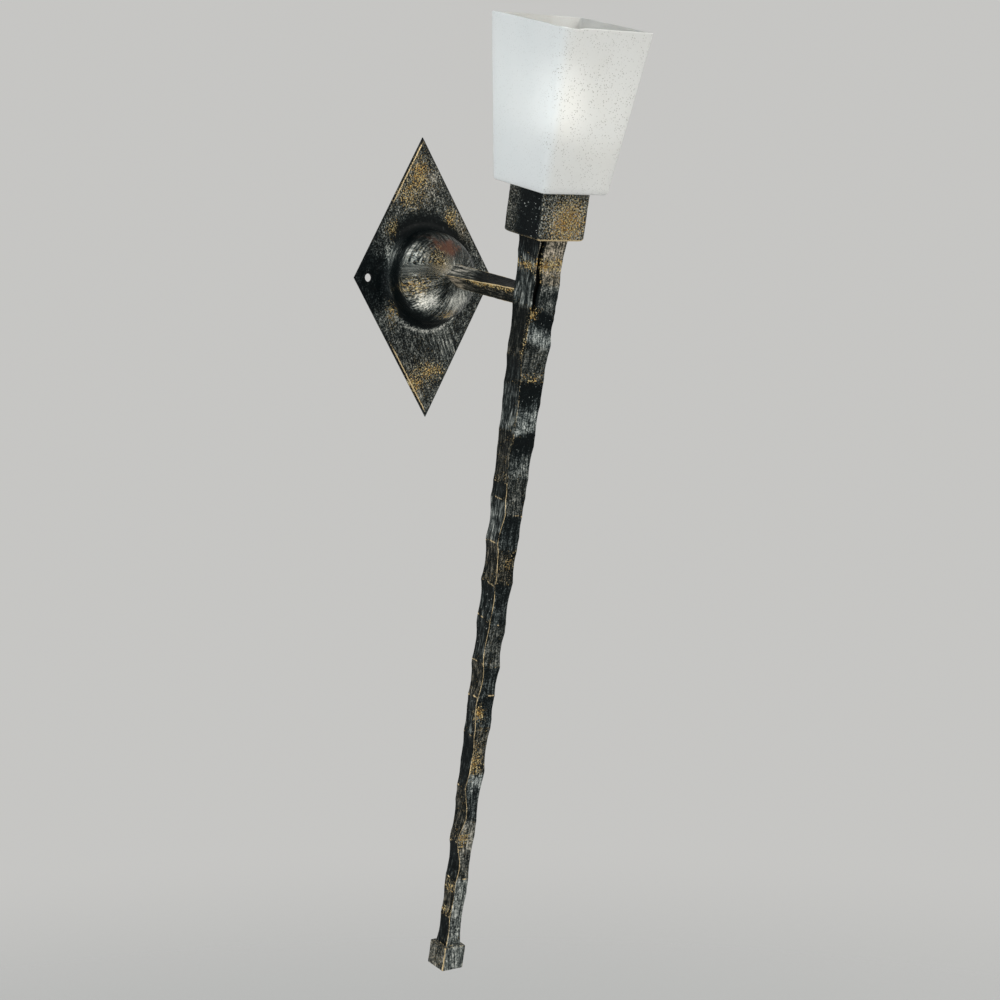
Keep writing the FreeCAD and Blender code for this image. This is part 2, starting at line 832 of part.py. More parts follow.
def make_shade():
    body = new_body("glass_shade")
    height, corner, edge = size("shade_height"), size("shade_corner"), size("shade_edge")
    wall = size("glass_wall")
    foot, mouth = size("shade_foot") / 2, size("shade_mouth") / 2
    slope = (mouth - foot) / height

    def section(name, half, rounding, rise):
        sketch = new_sketch(body, name, offset=glass_foot() + rise)
        rounded_square(sketch, half, rounding)
        return sketch

    loft(body, "Additive", [
        section("glass_foot", foot - edge, corner, 0),
        section("glass_eased", foot + slope * edge, corner, edge),
        section("glass_mouth", mouth, corner, height)])
    inner = corner / 2
    floor = size("glass_floor")
    loft(body, "Subtractive", [
        section("glass_inner_floor", foot + slope * floor - wall, inner, floor),
        section("glass_inner_mouth", mouth - wall, inner, height)])
    hole = new_sketch(body, "glass_hole_outline")
    circle(hole, 0, 0, glass_hole_radius())
    pocket_through(body, hole)
    body.Placement = torch_frame()
    return body


# ---------------------------------------------------------------- lamp

def make_lamp_contact():
    radius = size("lamp_contact_radius")
    low = lamp_foot()
    return turned_body("bulb_contact", [
        (0, low), (radius * 0.7, low), (radius, low + radius / 4), (radius, low + radius / 2),
        (0, low + radius / 2)], torch_frame())


def lamp_cap_foot():
    return lamp_foot() + size("lamp_contact_radius") / 2 + size("lamp_insulator_height")


def make_lamp_insulator():
    radius = size("lamp_contact_radius")
    cap = size("lamp_cap_diameter") / 2 - size("lamp_cap_wall")
    low = lamp_foot() + radius / 2
    return turned_body("bulb_insulator", [
        (0, low), (radius, low), (cap, lamp_cap_foot() - size("lamp_cap_wall")),
        (cap, lamp_cap_foot()), (0, lamp_cap_foot())], torch_frame())


def make_lamp_cap():
    outer = size("lamp_cap_diameter") / 2
    wall = size("lamp_cap_wall")
    inner = outer - wall
    low = lamp_cap_foot()
    top = low + size("lamp_cap_height")
    return turned_body("bulb_cap", [
        (inner - wall, low), (inner, low), (outer, low + wall), (outer, top), (inner, top),
        (inner, low + 2 * wall), (inner - wall, low + wall)], torch_frame())


def make_lamp_diffuser():
    """A candle form: two ogive arcs that meet at the widest place, and a small round tip."""
    wide = size("lamp_diameter") / 2
    neck = size("lamp_cap_diameter") / 2
    tip = size("lamp_tip_radius")
    foot = lamp_cap_foot() + size("lamp_cap_height")
    belly = lamp_foot() + size("lamp_belly")
    tip_centre = lamp_foot() + size("lamp_length") - tip
    rise = tip_centre - belly
    drop = belly - foot
    upper = (wide * wide + rise * rise - tip * tip) / (2 * (wide - tip))
    lower = (drop * drop + (wide - neck) * (wide - neck)) / (2 * (wide - neck))
    meet = upper / (upper - tip)
    return turned_body("bulb_diffuser", [
        (0, foot),
        (neck, foot, lower, "left"),
        (wide, belly, upper, "left"),
        (wide - upper + (upper - wide) * meet, belly + rise * meet, tip, "left"),
        (0, tip_centre + tip)], torch_frame())


# ---------------------------------------------------------------- inside the dome

def wall_place(x, out, z, turn=None):
    return Placement(Vector(float(x), -float(out), float(z)), turn or Rotation())


def pole_out():
    """Middle of the terminal block's connectors, out from the wall."""
    return size("bracket_out") - size("block_depth") / 2


def block_middle():
    return size("block_top") - size("block_height") / 2


def make_terminal_block():
    pitch, gap = size("pole_pitch"), size("block_gap")
    depth, height = size("block_depth"), size("block_height")
    width = len(POLES) * pitch - gap
    low = size("block_top") - height
    near_wall = size("bracket_out") - depth
    blank = box("block_blank", (width, depth, height), wall_place(-width / 2, size("bracket_out"), low))
    cutters = []
    for left, right in zip(POLES, POLES[1:]):
        x = (left + right) / 2 * pitch
        cutters.append(box(f"block_slot_{len(cutters)}", (gap, depth / 2, height),
                           wall_place(x - gap / 2, near_wall + depth / 2, low)))
    for pole in POLES:
        cutters.append(cylinder(f"block_bore_{pole + 1}", size("tube_diameter") / 2, height,
                                wall_place(pole * pitch, pole_out(), low)))
        for z in clamp_heights():
            cutters.append(cylinder(f"block_access_{len(cutters)}", size("clamp_screw") / 2 + size("seat_gap"),
                                    depth / 2, wall_place(pole * pitch, near_wall, z, facing((0, -1, 0)))))
    cutters.append(cylinder("block_screw_way", size("block_screw_diameter") / 2 + size("seat_gap"), depth,
                            wall_place(pitch / 2, near_wall, block_middle(), facing((0, -1, 0)))))
    return cut("terminal_block", blank, *cutters)


def clamp_heights():
    return [block_middle() + side * size("block_height") / 4 for side in SIDES]


def make_terminal_tubes():
    low = size("block_top") - size("block_height")
    tubes = []
    for pole in POLES:
        place = wall_place(pole * size("pole_pitch"), pole_out(), low)
        rod = cylinder(f"tube_rod_{pole + 1}", size("tube_diameter") / 2, size("block_height"), place)
        bore = cylinder(f"tube_bore_{pole + 1}", size("tube_bore") / 2, size("block_height"), place)
        tubes.append(cut(f"tube_{pole + 1}", rod, bore))
    return group("terminal_tubes", tubes)


def make_terminal_screws():
    screws = []
    length = size("block_depth") / 2 - size("tube_diameter") / 2 - size("seat_gap")
    head = pole_out() - size("tube_diameter") / 2 - length
    for pole in POLES:
        for z in clamp_heights():
            screws.append(cylinder(f"clamp_{len(screws)}", size("clamp_screw") / 2, length,
                                   wall_place(pole * size("pole_pitch"), head, z, facing((0, -1, 0)))))
    return group("terminal_screws", screws)


def headed_screw(name, shank_radius, head_radius, head_height, length, place):
    """A screw whose head's face is at the placement and whose shank runs on along Z."""
    head = cylinder(f"{name}_head", head_radius, head_height, place)
    shank = cylinder(f"{name}_shank", shank_radius, length, place)
    return fuse(name, head, shank)


def make_block_screw():
    """Runs between two poles through the block into the bracket."""
    radius = size("block_screw_diameter") / 2
    head_out = pole_out() - size("block_gap")
    length = size("bracket_out") + size("bracket_gauge") + radius - head_out
    place = wall_place(size("pole_pitch") / 2, head_out, block_middle(), facing((0, -1, 0)))
    return headed_screw("block_screw", radius, radius, radius, length, place)


def make_bracket():
    """A strip across the dome, its ends welded to the dome's inside."""
    gauge, width = size("bracket_gauge"), size("bracket_width")
    span = 2 * size("dome_radius")
    strip = box("bracket_strip", (span, gauge, width),
                wall_place(-span / 2, size("bracket_out") + gauge, block_middle() - width / 2))
    fitted = common("bracket_fitted", strip, dome_ball("bracket_ball", size("dome_radius") - size("plate_gauge")))
    holes = []
    for name, x, diameter in (("earth", size("earth_offset"), size("earth_screw_diameter")),
                              ("block", size("pole_pitch") / 2, size("block_screw_diameter"))):
        holes.append(cylinder(f"bracket_{name}_hole", diameter / 2, 2 * gauge,
                              wall_place(x, size("bracket_out") - gauge / 2, block_middle(), facing((0, -1, 0)))))
    return cut("terminal_bracket", fitted, *holes)


def tag_gauge():
    return size("plate_gauge") / 2


def make_earth_tag():
    """A ring tag under the earth screw's head, with a tongue up to its wire."""
    radius = size("earth_screw_diameter")
    face = size("bracket_out") - tag_gauge()
    towards_bracket = facing((0, -1, 0))
    ring = cylinder("tag_ring", radius * 1.2, tag_gauge(),
                    wall_place(size("earth_offset"), face, block_middle(), towards_bracket))
    tongue = box("tag_tongue", (radius, tag_gauge(), tongue_top() - block_middle()),
                 wall_place(size("earth_offset") - radius / 2, size("bracket_out"), block_middle()))
    hole = cylinder("tag_hole", radius / 2, 2 * tag_gauge(),
                    wall_place(size("earth_offset"), face - tag_gauge() / 2, block_middle(), towards_bracket))
    return cut("earth_tag", fuse("tag_blank", ring, tongue), hole)


def tongue_top():
    return block_middle() + size("bracket_width") / 2


def make_earth_screw():
    diameter = size("earth_screw_diameter")
    head_height = diameter * 0.6
    head_out = size("bracket_out") - tag_gauge() - head_height
    length = head_height + tag_gauge() + 2 * size("bracket_gauge")
    place = wall_place(size("earth_offset"), head_out, block_middle(), facing((0, -1, 0)))
    return headed_screw("earth_screw", diameter / 2, diameter, head_height, length, place)


def make_bush():
    """Lines the wire hole: a flange that fits the dome's inside and a neck into the arm."""
    flange_back = size("plate_gauge") * 2.5
    flange = common("bush_flange_fitted",
                    cylinder("bush_flange_blank", size("bush_flange") / 2, 2 * flange_back,
                             in_frame(arm_frame(), 0, 0, -flange_back)),
                    dome_ball("bush_ball", size("dome_radius") - size("plate_gauge")))
    neck = cylinder("bush_neck", size("arm_bore") / 2 - size("seat_gap"), 2 * flange_back,
                    in_frame(arm_frame(), 0, 0, -flange_back))
    bore = cylinder("bush_bore_cut", size("bush_bore") / 2, 4 * flange_back,
                    in_frame(arm_frame(), 0, 0, -2 * flange_back))
    return cut("wire_bush", fuse("bush_blank", flange, neck), bore)


# ---------------------------------------------------------------- conductors

def bent_route(points, bend_radius):
    """Straight runs joined by tangent arcs, as one path; also the radii used."""
    edges, radii = [], []
    start = points[0]
    for before, corner, after in zip(points, points[1:], points[2:]):
        back, ahead = before - corner, after - corner
        half_turn = (math.pi - back.getAngle(ahead)) / 2
        room = 0.45 * min(back.Length, ahead.Length)
        trim = min(bend_radius * math.tan(half_turn), room)
        radii.append(trim / math.tan(half_turn))
        bisector = (back.normalize() + ahead.normalize()).normalize()
        enter, leave = corner + back * trim, corner + ahead * trim
        middle = corner + bisector * (radii[-1] / math.cos(half_turn) - radii[-1])
        edges += [Part.LineSegment(start, enter).toShape(), Part.Arc(enter, middle, leave).toShape()]
        start = leave
    edges.append(Part.LineSegment(start, points[-1]).toShape())
    return Part.Wire(edges), radii


def make_wire(name, points, bend_radius):
    path, radii = bent_route(points, bend_radius)
    radius = number("wire_diameter") / 2
    section = Part.Wire(Part.Circle(points[0], points[1] - points[0], radius).toShape())
    solid = path.makePipeShell([section], True, False)
    expected = math.pi * radius * radius * path.Length
    print(f"{name}: length {path.Length:.0f}, bends {[round(value, 1) for value in radii]},"
          f" volume off by {solid.Volume / expected - 1:+.4f}")
    return placed_feature(name, solid, Placement())


def lamp_wire_points(side):
    """From its pole in the terminal block, along the arm, up the stem to the lampholder."""
    x = side * (number("wire_diameter") + number("wire_gap")) / 2
    pole_x = side * number("pole_pitch")
    terminal_x = side * number("terminal_offset")
    pole_y = -float(pole_out())
    top = number("block_top")
    bush_end = -5 * number("plate_gauge")
    torch, arm = torch_frame(), arm_frame()
    in_bush = arm.multVec(Vector(x, 0, bush_end - number("arm_side")))
    return [
        Vector(pole_x, pole_y, top),
        Vector(pole_x, pole_y, in_bush.z + number("wire_diameter")),
        in_bush,
        arm.multVec(Vector(x, 0, arm_length())),
        torch.multVec(Vector(x, 0, float(size("holder_raise") + size("cap_boss_height") + size("cap_wall")))),
        torch.multVec(Vector(terminal_x, 0, float(insert_foot() - size("terminal_drop") * 2))),
        torch.multVec(Vector(terminal_x, 0, float(insert_foot() - size("terminal_drop"))))]


def earth_wire_points():
    """From the middle pole, out past the live conductor and across to the earth tag."""
    top = number("block_top")
    rise = top + number("block_height") / 2
    tongue = Vector(number("earth_offset"), -float(size("bracket_out") - tag_gauge() / 2), float(tongue_top()))
    return [
        Vector(0, -float(pole_out()), top),
        Vector(0, -float(pole_out()), rise),
        Vector(0, tongue.y, rise),
        Vector(tongue.x, tongue.y, rise),
        tongue]


def make_wires():
    bend = number("stem_head") / 2 - number("stem_wall")
    return [
        make_wire("live_wire", lamp_wire_points(1), bend),
        make_wire("neutral_wire", lamp_wire_points(-1), bend),
        make_wire("earth_wire", earth_wire_points(), bend)]


# ---------------------------------------------------------------- build, test, write

def check_document(parts):
    DOC.recompute()
    failed = [item.Name for item in DOC.Objects if "Invalid" in item.State or "Error" in item.State]
    if failed:
        raise RuntimeError(f"failed objects: {failed}")
    for part in parts:
        shape = part.Shape
        if shape.isNull() or not shape.isValid() or not shape.Solids:
            raise RuntimeError(f"{part.Label} has no sound solid")
        if min(solid.Volume for solid in shape.Solids) <= 0:
            raise RuntimeError(f"{part.Label} has a solid with no volume")
        print(f"{part.Label:18s} solids {len(shape.Solids)}  volume {shape.Volume:10.1f}")


def main():
    fill_sheet()
    stem_bar = make_stem_bar()
    parts = [
        make_wall_plate(), make_arm(stem_bar), make_stem(stem_bar), make_knob(),
        make_collar(), make_collar_floor(), make_gasket(),
        make_nipple(), make_nuts(), make_holder_cap(), make_holder_shell(), make_insert(),
        make_liner(), make_contact(), make_holder_terminals(), make_holder_screws(),
        make_shade_ring(), make_shade(),
        make_lamp_contact(), make_lamp_insulator(), make_lamp_cap(), make_lamp_diffuser(),
        make_terminal_block(), make_terminal_tubes(), make_terminal_screws(), make_block_screw(),
        make_bracket(), make_earth_tag(), make_earth_screw(), make_bush(),
        *make_wires()]
    check_document(parts)
    os.makedirs("parts", exist_ok=True)
    for part in parts:
        part.Shape.exportStep(os.path.join("parts", f"{part.Label}.step"))


main()
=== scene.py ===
"""The look of the torch sconce: forged and patinated iron, frosted glass and the lamp's fittings.

Lengths are written in millimetres and become metres as each mesh is made.
The torch frame has its origin on the torch's axis under the collar, +Z up the torch.
The arm frame has its origin at the dome's face on the arm's axis, +Z away from the wall.
"""
from dataclasses import dataclass
from math import asin, atan2, cos, exp, hypot, pi, radians, sin, sqrt, tau

import bmesh
import bpy
from mathutils import Matrix, Vector, noise


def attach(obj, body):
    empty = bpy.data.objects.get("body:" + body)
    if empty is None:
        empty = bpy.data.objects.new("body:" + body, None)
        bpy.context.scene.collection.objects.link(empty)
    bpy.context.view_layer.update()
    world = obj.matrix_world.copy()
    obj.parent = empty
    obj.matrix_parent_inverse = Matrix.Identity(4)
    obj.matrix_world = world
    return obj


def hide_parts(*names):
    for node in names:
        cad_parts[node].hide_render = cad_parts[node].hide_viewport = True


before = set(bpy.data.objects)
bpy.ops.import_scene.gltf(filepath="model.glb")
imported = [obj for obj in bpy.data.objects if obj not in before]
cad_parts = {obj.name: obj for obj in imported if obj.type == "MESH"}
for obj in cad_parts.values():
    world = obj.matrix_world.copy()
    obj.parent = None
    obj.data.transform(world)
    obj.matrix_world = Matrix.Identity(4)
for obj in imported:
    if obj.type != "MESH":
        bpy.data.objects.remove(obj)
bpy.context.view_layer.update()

MM = 0.001

# ---- sizes, mm

PLATE_HALF_WIDTH, PLATE_HALF_HEIGHT, SHEET = 78.0, 128.0, 2.0
PLATE_REACH = PLATE_HALF_WIDTH * PLATE_HALF_HEIGHT / hypot(PLATE_HALF_WIDTH, PLATE_HALF_HEIGHT)
DOME_RADIUS, DOME_CENTRE, FLARE_RADIUS = 43.0, 8.0, 9.0
FIXING_X, FIXING_RADIUS = 63.0, 3.75
ARM_SIDE, ARM_ROOT_HEIGHT = 15.0, 1.2
ARM_DROP, ARM_ROOT_ROLL, ARM_STEM_ROLL = radians(9.9), radians(45), radians(14)
TORCH_REACH, TORCH_LEAN, ARM_BELOW_COLLAR = 165.0, radians(12.75), 54.1
STEM_LENGTH, STEM_HEAD, STEM_TIP, STEM_TAPER = 665.7, 31.3, 16.4, 1.8
BLOW_PITCH, BLOW_DEPTH, FULL_BLOW = 40.0, 1.4, 90
SEAM_WIDTH, SEAM_DEPTH, SEAM_LENGTH = 2.8, 2.4, 68.0
KNOB_SIDE, KNOB_HEIGHT, KNOB_BEVEL = 23.3, 23.0, 0.8
COLLAR_SIDE, COLLAR_CORNER, COLLAR_WALL = 50.0, 1.6, 2.0
FLOOR_GAUGE, TUBE_HEIGHT, GASKET = 3.0, 39.0, 1.0
NIPPLE_HOLE = 5.1
SHADE_FOOT, SHADE_MOUTH, SHADE_HEIGHT = 72.5, 100.8, 142.0
SHADE_CORNER, SHADE_EASE, GLASS_WALL, GLASS_FLOOR = 4.0, 1.6, 4.0, 5.0
GLASS_FOOT = FLOOR_GAUGE + TUBE_HEIGHT + GASKET
SHELL_RADIUS, SHELL_WALL, SHELL_FOOT, SHELL_HEIGHT = 20.0, 2.0, 37.0, 42.0
GLASS_HOLE = SHELL_RADIUS + 1.0
LAMP_CAP_RADIUS, LAMP_CAP_FOOT, LAMP_CAP_HEIGHT = 13.1, 62.75, 18.5
SHELL_PITCH, SHELL_THREAD = 3.0, 0.8
CAP_PITCH, CAP_THREAD, CAP_WALL = 3.63, 0.9, 1.3
LAMP_MIDDLE = Vector((7.0, 0.0, 121.0))  # where the lamp glows brightest

# Each dent's length from the collar down, in hundredths of the usual one, and how it is finished.
FRONT_BLOWS = (100, 80, 83, 62, 105, 118, 90, 80, 68, 95, 100, 73, 83, 110, 130, 140, 140)
LEFT_BLOWS = (38, 115, 115, 60, 108, 115, 38, 100, 95, 85, 103, 83, 90, 130, 133, 93, 93, 65)
RIGHT_BLOWS = (135, 95, 143, 95, 115, 98, 103, 113, 85, 128, 128, 158, 143, 118)
BACK_BLOWS = (113, 130, 130, 108, 118, 85, 100, 100, 100, 103, 130, 95, 85, 135, 125)
FRONT_FINISH = "oshmhfmnbnmnngrql"
LEFT_FINISH = "kdckdbkdbttbtkbkbk"
RIGHT_FINISH = "shmkfbsmfkmobs"
BACK_FINISH = "fkmsbhknbsfkbms"

# How far up each crest of the front is drawn, in mm: half as much again at its left edge, half at its right.
FRONT_LIFTS = (0, 0, 8, 10, 3, -4, 3, 5, 4, 1, 0, 0, 0, 3, 3, 8, 8, 0)

# Level at a dent's head and at its foot, gold, brown and bright specks. Level 0 is black and 1 is silver.
# Most dents are darker at the head than at the foot: painted shade where a dent faces down, painted light where it
# faces up.
DENT_FINISH_AND_SHADING = {
    "l": (0.76, 0.74, 0.03, 0.1, 0.3),
    "s": (0.52, 0.46, 0.04, 0.2, 0.3),
    "o": (0.8, 0.76, 0.1, 0.7, 0.2),
    "h": (-0.25, 0.72, 0.02, 0.0, 0.9),
    "f": (-0.25, 0.56, 0.03, 0.1, 0.6),
    "r": (0.76, 0.3, 0.02, 0.0, 0.3),
    "q": (0.8, 0.54, 0.08, 0.4, 0.4),
    "m": (0.34, 0.5, 0.07, 0.3, 0.6),
    "n": (0.1, 0.34, 0.02, 0.0, 0.6),
    "d": (0.38, 0.48, 0.03, 0.1, 0.4),
    "b": (0.22, 0.32, 0.1, 0.7, 0.3),
    "g": (0.36, 0.46, 0.13, 0.5, 0.3),
    "c": (0.05, 0.14, 0.04, 0.6, 0.3),
    "t": (0.08, 0.2, 0.03, 0.1, 0.9),
    "k": (-0.14, 0.08, 0.03, 0.2, 0.5),
}
# Gold rubbed on in patches: depth, place across the face from -1 to 1, reach along and across, amount.
FRONT_GOLD = (
    (23, 0.0, 6, 2.0, 0.5), (66, -0.85, 5, 0.4, 0.75), (124, -0.3, 5, 0.8, 0.3), (294, 0.2, 8, 1.2, 0.14),
    (437, -0.5, 7, 0.5, 0.75), (484, -0.5, 15, 0.7, 0.38), (560, -0.4, 8, 0.7, 0.5))
LEFT_GOLD = (
    (25, 0.0, 5, 2.0, 0.45), (88, 0.9, 18, 0.3, 0.28), (150, 0.9, 30, 0.2, 0.16), (440, 0.8, 8, 0.5, 0.25),
    (609, 0.0, 5, 1.0, 0.32), (632, 0.0, 4, 1.0, 0.25))
RIGHT_GOLD = ((210, 0.2, 12, 0.8, 0.4), (430, -0.3, 14, 0.7, 0.5))
BACK_GOLD = ((120, -0.2, 14, 0.8, 0.4), (520, 0.4, 16, 0.7, 0.5))

# How far the front left edge is drawn sideways by the blows on both its faces: depth, shift to the right.
EDGE_TURNS = (
    (0, 0.0), (42, -1.3), (71, -0.2), (107, -2.2), (143, -0.4), (179, -0.5), (194, -2.4), (240, 0.6),
    (271, -1.8), (312, 0.5), (331, 1.2), (375, -1.4), (404, 0.4), (430, -2.3), (471, 0.9), (505, -1.3),
    (534, 1.7), (560, -1.9), (588, 1.9), (605, 0.6), (640, 0.5), (665.7, 0.0))

# ---- frames

DOME_FACE = DOME_CENTRE + DOME_RADIUS
ARM_LENGTH = (TORCH_REACH - DOME_FACE) / cos(ARM_DROP)
ARM_FRAME = (Matrix.Translation((0, -DOME_FACE, ARM_ROOT_HEIGHT))
             @ Matrix.Rotation(pi / 2 + ARM_DROP, 4, "X"))
TORCH_TURN = Matrix.Rotation(TORCH_LEAN, 4, "X")
TORCH_FRAME = (Matrix.Translation(ARM_FRAME @ Vector((0, 0, ARM_LENGTH))
                                  + TORCH_TURN @ Vector((0, 0, ARM_BELOW_COLLAR)))
               @ TORCH_TURN)
WALL_FRAME = Matrix.Identity(4)


# ---- small helpers

def mix(a, b, share):
    return a + (b - a) * share


def spaced(low, high, steps):
    return [mix(low, high, step / steps) for step in range(steps + 1)]


def clamp(value):
    return min(1.0, max(0.0, value))


def smooth(low, high, value):
    share = clamp((value - low) / (high - low))
    return share * share * (3 - 2 * share)


def bell(value, width):
    return exp(-(value / width) ** 2)


def rough(point, scale, seed=0.0):
    """Signed noise at a point given in mm; scale is the size of its lumps, in mm."""
    return noise.noise(Vector(point) / scale + Vector((seed, seed * 0.7, -seed)))


def turns_at(turns, place):
    """Eased reading between the turning points of a wandering line."""
    for (low, first), (high, last) in zip(turns, turns[1:]):
        if place <= high:
            return mix(first, last, smooth(low, high, place))
    return turns[-1][1]


def new_object(name, data):
    thing = bpy.data.objects.new(name, data)
    bpy.context.scene.collection.objects.link(thing)
    return thing


def make_object(name, points, faces, place, sharp=35):
    """A mesh from points in mm in the given frame, smooth shaded but for edges sharper than the angle."""
    mesh = bpy.data.meshes.new(name)
    mesh.from_pydata([(place @ Vector(point)) * MM for point in points], [], faces)
    mesh.update()
    form = bmesh.new()
    form.from_mesh(mesh)
    bmesh.ops.recalc_face_normals(form, faces=form.faces)
    form.to_mesh(mesh)
    form.free()
    mesh.shade_smooth()
    mesh.set_sharp_from_angle(angle=radians(sharp))
    return new_object(name, mesh)


def ring_faces(rings, count, closed):
    """Quads between rings; an open run of rings gets a cap at each end."""
    faces = []
    for ring in range(rings if closed else rings - 1):
        here, there = ring * count, (ring + 1) % rings * count
        for index in range(count):
            following = (index + 1) % count
            faces.append((here + index, here + following, there + following, there + index))
    if not closed:
        faces.append(tuple(range(count))[::-1])
        faces.append(tuple(range((rings - 1) * count, rings * count)))
    return faces


def joined(rings):
    return [point for ring in rings for point in ring]


def loft(name, rings, place=TORCH_FRAME, closed=False, sharp=35):
    """A skin over rings that all have the same number of points."""
    return make_object(name, joined(rings), ring_faces(len(rings), len(rings[0]), closed), place, sharp)


def circle_ring(radius, height, steps=72):
    angles = [tau * step / steps for step in range(steps)]
    return [(radius * cos(angle), radius * sin(angle), height) for angle in angles]


def quarter(turns):
    return Matrix.Rotation(pi / 2 * turns, 3, "Z")


def rounded_square(half, corner, height, per_side=6, per_corner=4):
    """Points round a square with arcs at its corners, starting at the front left."""
    points = []
    inner = half - corner
    for turn in range(4):
        facing = quarter(turn)
        for step in range(per_side):
            x = mix(-inner, inner, step / per_side)
            points.append(facing @ Vector((x, -half, height)))
        for step in range(per_corner):
            angle = pi / 2 * step / per_corner
            points.append(facing @ Vector((inner + corner * sin(angle),
                                           -inner - corner * cos(angle), height)))
    return points


def circle_like(square, radius, height):
    """The same number of points as a square ring, on a circle."""
    return [Vector((point.x, point.y, 0)).normalized() * radius + Vector((0, 0, height)) for point in square]


def roughen(rings, amount, scale):
    """Push the points of a ring in and out a little, as a hammer and a file leave them."""
    for point in joined(rings):
        push = amount * rough(point, scale) + amount / 3 * rough(point, scale / 3)
        point.xy += point.xy.normalized() * push


def store(thing, name, kind, field, values):
    layer = thing.data.attributes.new(name, kind, "POINT")
    layer.data.foreach_set(field, [number for value in values for number in value])


@dataclass
class Finish:
    """How the patina lies at one place of an iron piece."""
    level: float = 0.4
    gold: float = 0.1
    brown: float = 0.3
    worn: float = 0.0
    rust: float = 0.0
    # how much of the open seam's painted shade lies here
    slit: float = 0.0
    strokes: float = 0.4
    specks: float = 0.3


def paint(thing, grains, finishes):
    """Keep on the mesh what the patina needs: where its strokes run, in mm, and how it lies.

    The level is kept halved and raised by a quarter, so that it can go below black and above silver.
    """
    store(thing, "grain", "FLOAT_VECTOR", "vector", [Vector(grain) * MM for grain in grains])
    for name, parts in (("tone", ("level", "gold", "rust")), ("wear_and_seam_shade", ("worn", "brown", "slit")),
                        ("brush", ("strokes", "specks"))):
        rows = [[getattr(finish, part) for part in parts] for finish in finishes]
        if name == "tone":
            rows = [[level * 0.5 + 0.25, *others] for level, *others in rows]
        store(thing, name, "FLOAT_COLOR", "color",
              [[clamp(number) for number in (*row, 0.0, 1.0)[:3]] + [1.0] for row in rows])


def places_of(thing, place=TORCH_FRAME):
    """Where a mesh's points lie in a frame, in mm."""
    back = place.inverted()
    return [back @ (vertex.co / MM) for vertex in thing.data.vertices]


def paint_by_place(thing, look, place=TORCH_FRAME):
    """Paint from look(point), which gives the grain and the finish at a place in the piece's frame."""
    paint(thing, *zip(*(look(point) for point in places_of(thing, place))))
    return thing


# ---- materials

class Shader:
    """Short calls to build one material's nodes."""

    def __init__(self, name):
        self.material = bpy.data.materials.new(name)
        self.material.use_nodes = True
        self.tree = self.material.node_tree
        self.surface = self.tree.nodes["Principled BSDF"]

    def add(self, kind, **settings):
        node = self.tree.nodes.new(kind)
        for key, value in settings.items():
            setattr(node, key, value)
        return node

    def feed(self, socket, value):
        if isinstance(value, bpy.types.NodeSocket):
            self.tree.links.new(value, socket)
        else:
            socket.default_value = value

    def fill(self, node, **values):
        """Feed a node's inputs by name."""
        for name, value in values.items():
            self.feed(node.inputs[name.replace("_", " ")], value)

    def place(self, scale=(1, 1, 1), source=None):
        if source is None:
            source = self.add("ShaderNodeTexCoord").outputs["Object"]
        node = self.add("ShaderNodeMapping")
        self.fill(node, Vector=source, Scale=scale)
        return node.outputs["Vector"]

    def distance(self, point=(0, 0, 0)):
        """How far a place on the object is from a point, in metres."""
        node = self.add("ShaderNodeVectorMath", operation="DISTANCE")
        self.feed(node.inputs[0], self.add("ShaderNodeTexCoord").outputs["Object"])
        node.inputs[1].default_value = point
        return node.outputs["Value"]

    def attribute(self, name, output="Color"):
        return self.add("ShaderNodeAttribute", attribute_name=name).outputs[output]

    def channels(self, name):
        node = self.add("ShaderNodeSeparateColor")
        self.feed(node.inputs["Color"], self.attribute(name))
        return node.outputs["Red"], node.outputs["Green"], node.outputs["Blue"]

    def noise(self, where, scale, detail=3.0, roughness=0.55, shift=0.0):
        node = self.add("ShaderNodeTexNoise", noise_dimensions="4D")
        self.fill(node, Vector=where, W=shift, Scale=scale, Detail=detail, Roughness=roughness)
        return node.outputs["Fac"]

    def math(self, operation, first, second=0.0, third=0.0):
        node = self.add("ShaderNodeMath", operation=operation)
        for socket, value in zip(node.inputs, (first, second, third)):
            self.feed(socket, value)
        return node.outputs[0]

    def remap(self, value, low, high, start=0.0, end=1.0):
        node = self.add("ShaderNodeMapRange", interpolation_type="SMOOTHSTEP")
        self.fill(node, Value=value, From_Min=low, From_Max=high, To_Min=start, To_Max=end)
        return node.outputs["Result"]

    def between(self, first, second, share):
        """A plain number between two others."""
        return self.math("MULTIPLY_ADD", self.math("SUBTRACT", second, first), share, first)

    def cover(self, amount, grain, softness=0.1):
        """A broken mask from nothing at 0 to all at 1, following the grain."""
        edge = self.math("MULTIPLY_ADD", amount, -1 - 2 * softness, 1 + softness)
        low = self.math("SUBTRACT", edge, softness)
        high = self.math("ADD", edge, softness)
        return self.remap(grain, low, high)

    def ramp(self, value, *stops):
        node = self.add("ShaderNodeValToRGB")
        self.feed(node.inputs["Fac"], value)
        elements = node.color_ramp.elements
        while len(elements) < len(stops):
            elements.new(0.5)
        for element, (position, colour) in zip(elements, stops):
            element.position = position
            element.color = (*colour, 1)
        return node.outputs["Color"]

    def blend(self, first, second, share, kind="MIX"):
        node = self.add("ShaderNodeMix", data_type="RGBA", blend_type=kind)
        self.feed(node.inputs["Factor"], share)
        for socket, colour in ((node.inputs["A"], first), (node.inputs["B"], second)):
            self.feed(socket, colour if isinstance(colour, bpy.types.NodeSocket) else (*colour, 1))
        return node.outputs["Result"]

    def bump(self, height, strength, distance=0.0004):
        node = self.add("ShaderNodeBump")
        self.fill(node, Strength=strength, Distance=distance, Height=height)
        self.feed(self.surface.inputs["Normal"], node.outputs["Normal"])

    def set(self, **values):
        """Feed the surface's inputs by name; a tuple is a colour."""
        self.fill(self.surface, **{name: (*value, 1) if isinstance(value, tuple) else value
                                   for name, value in values.items()})


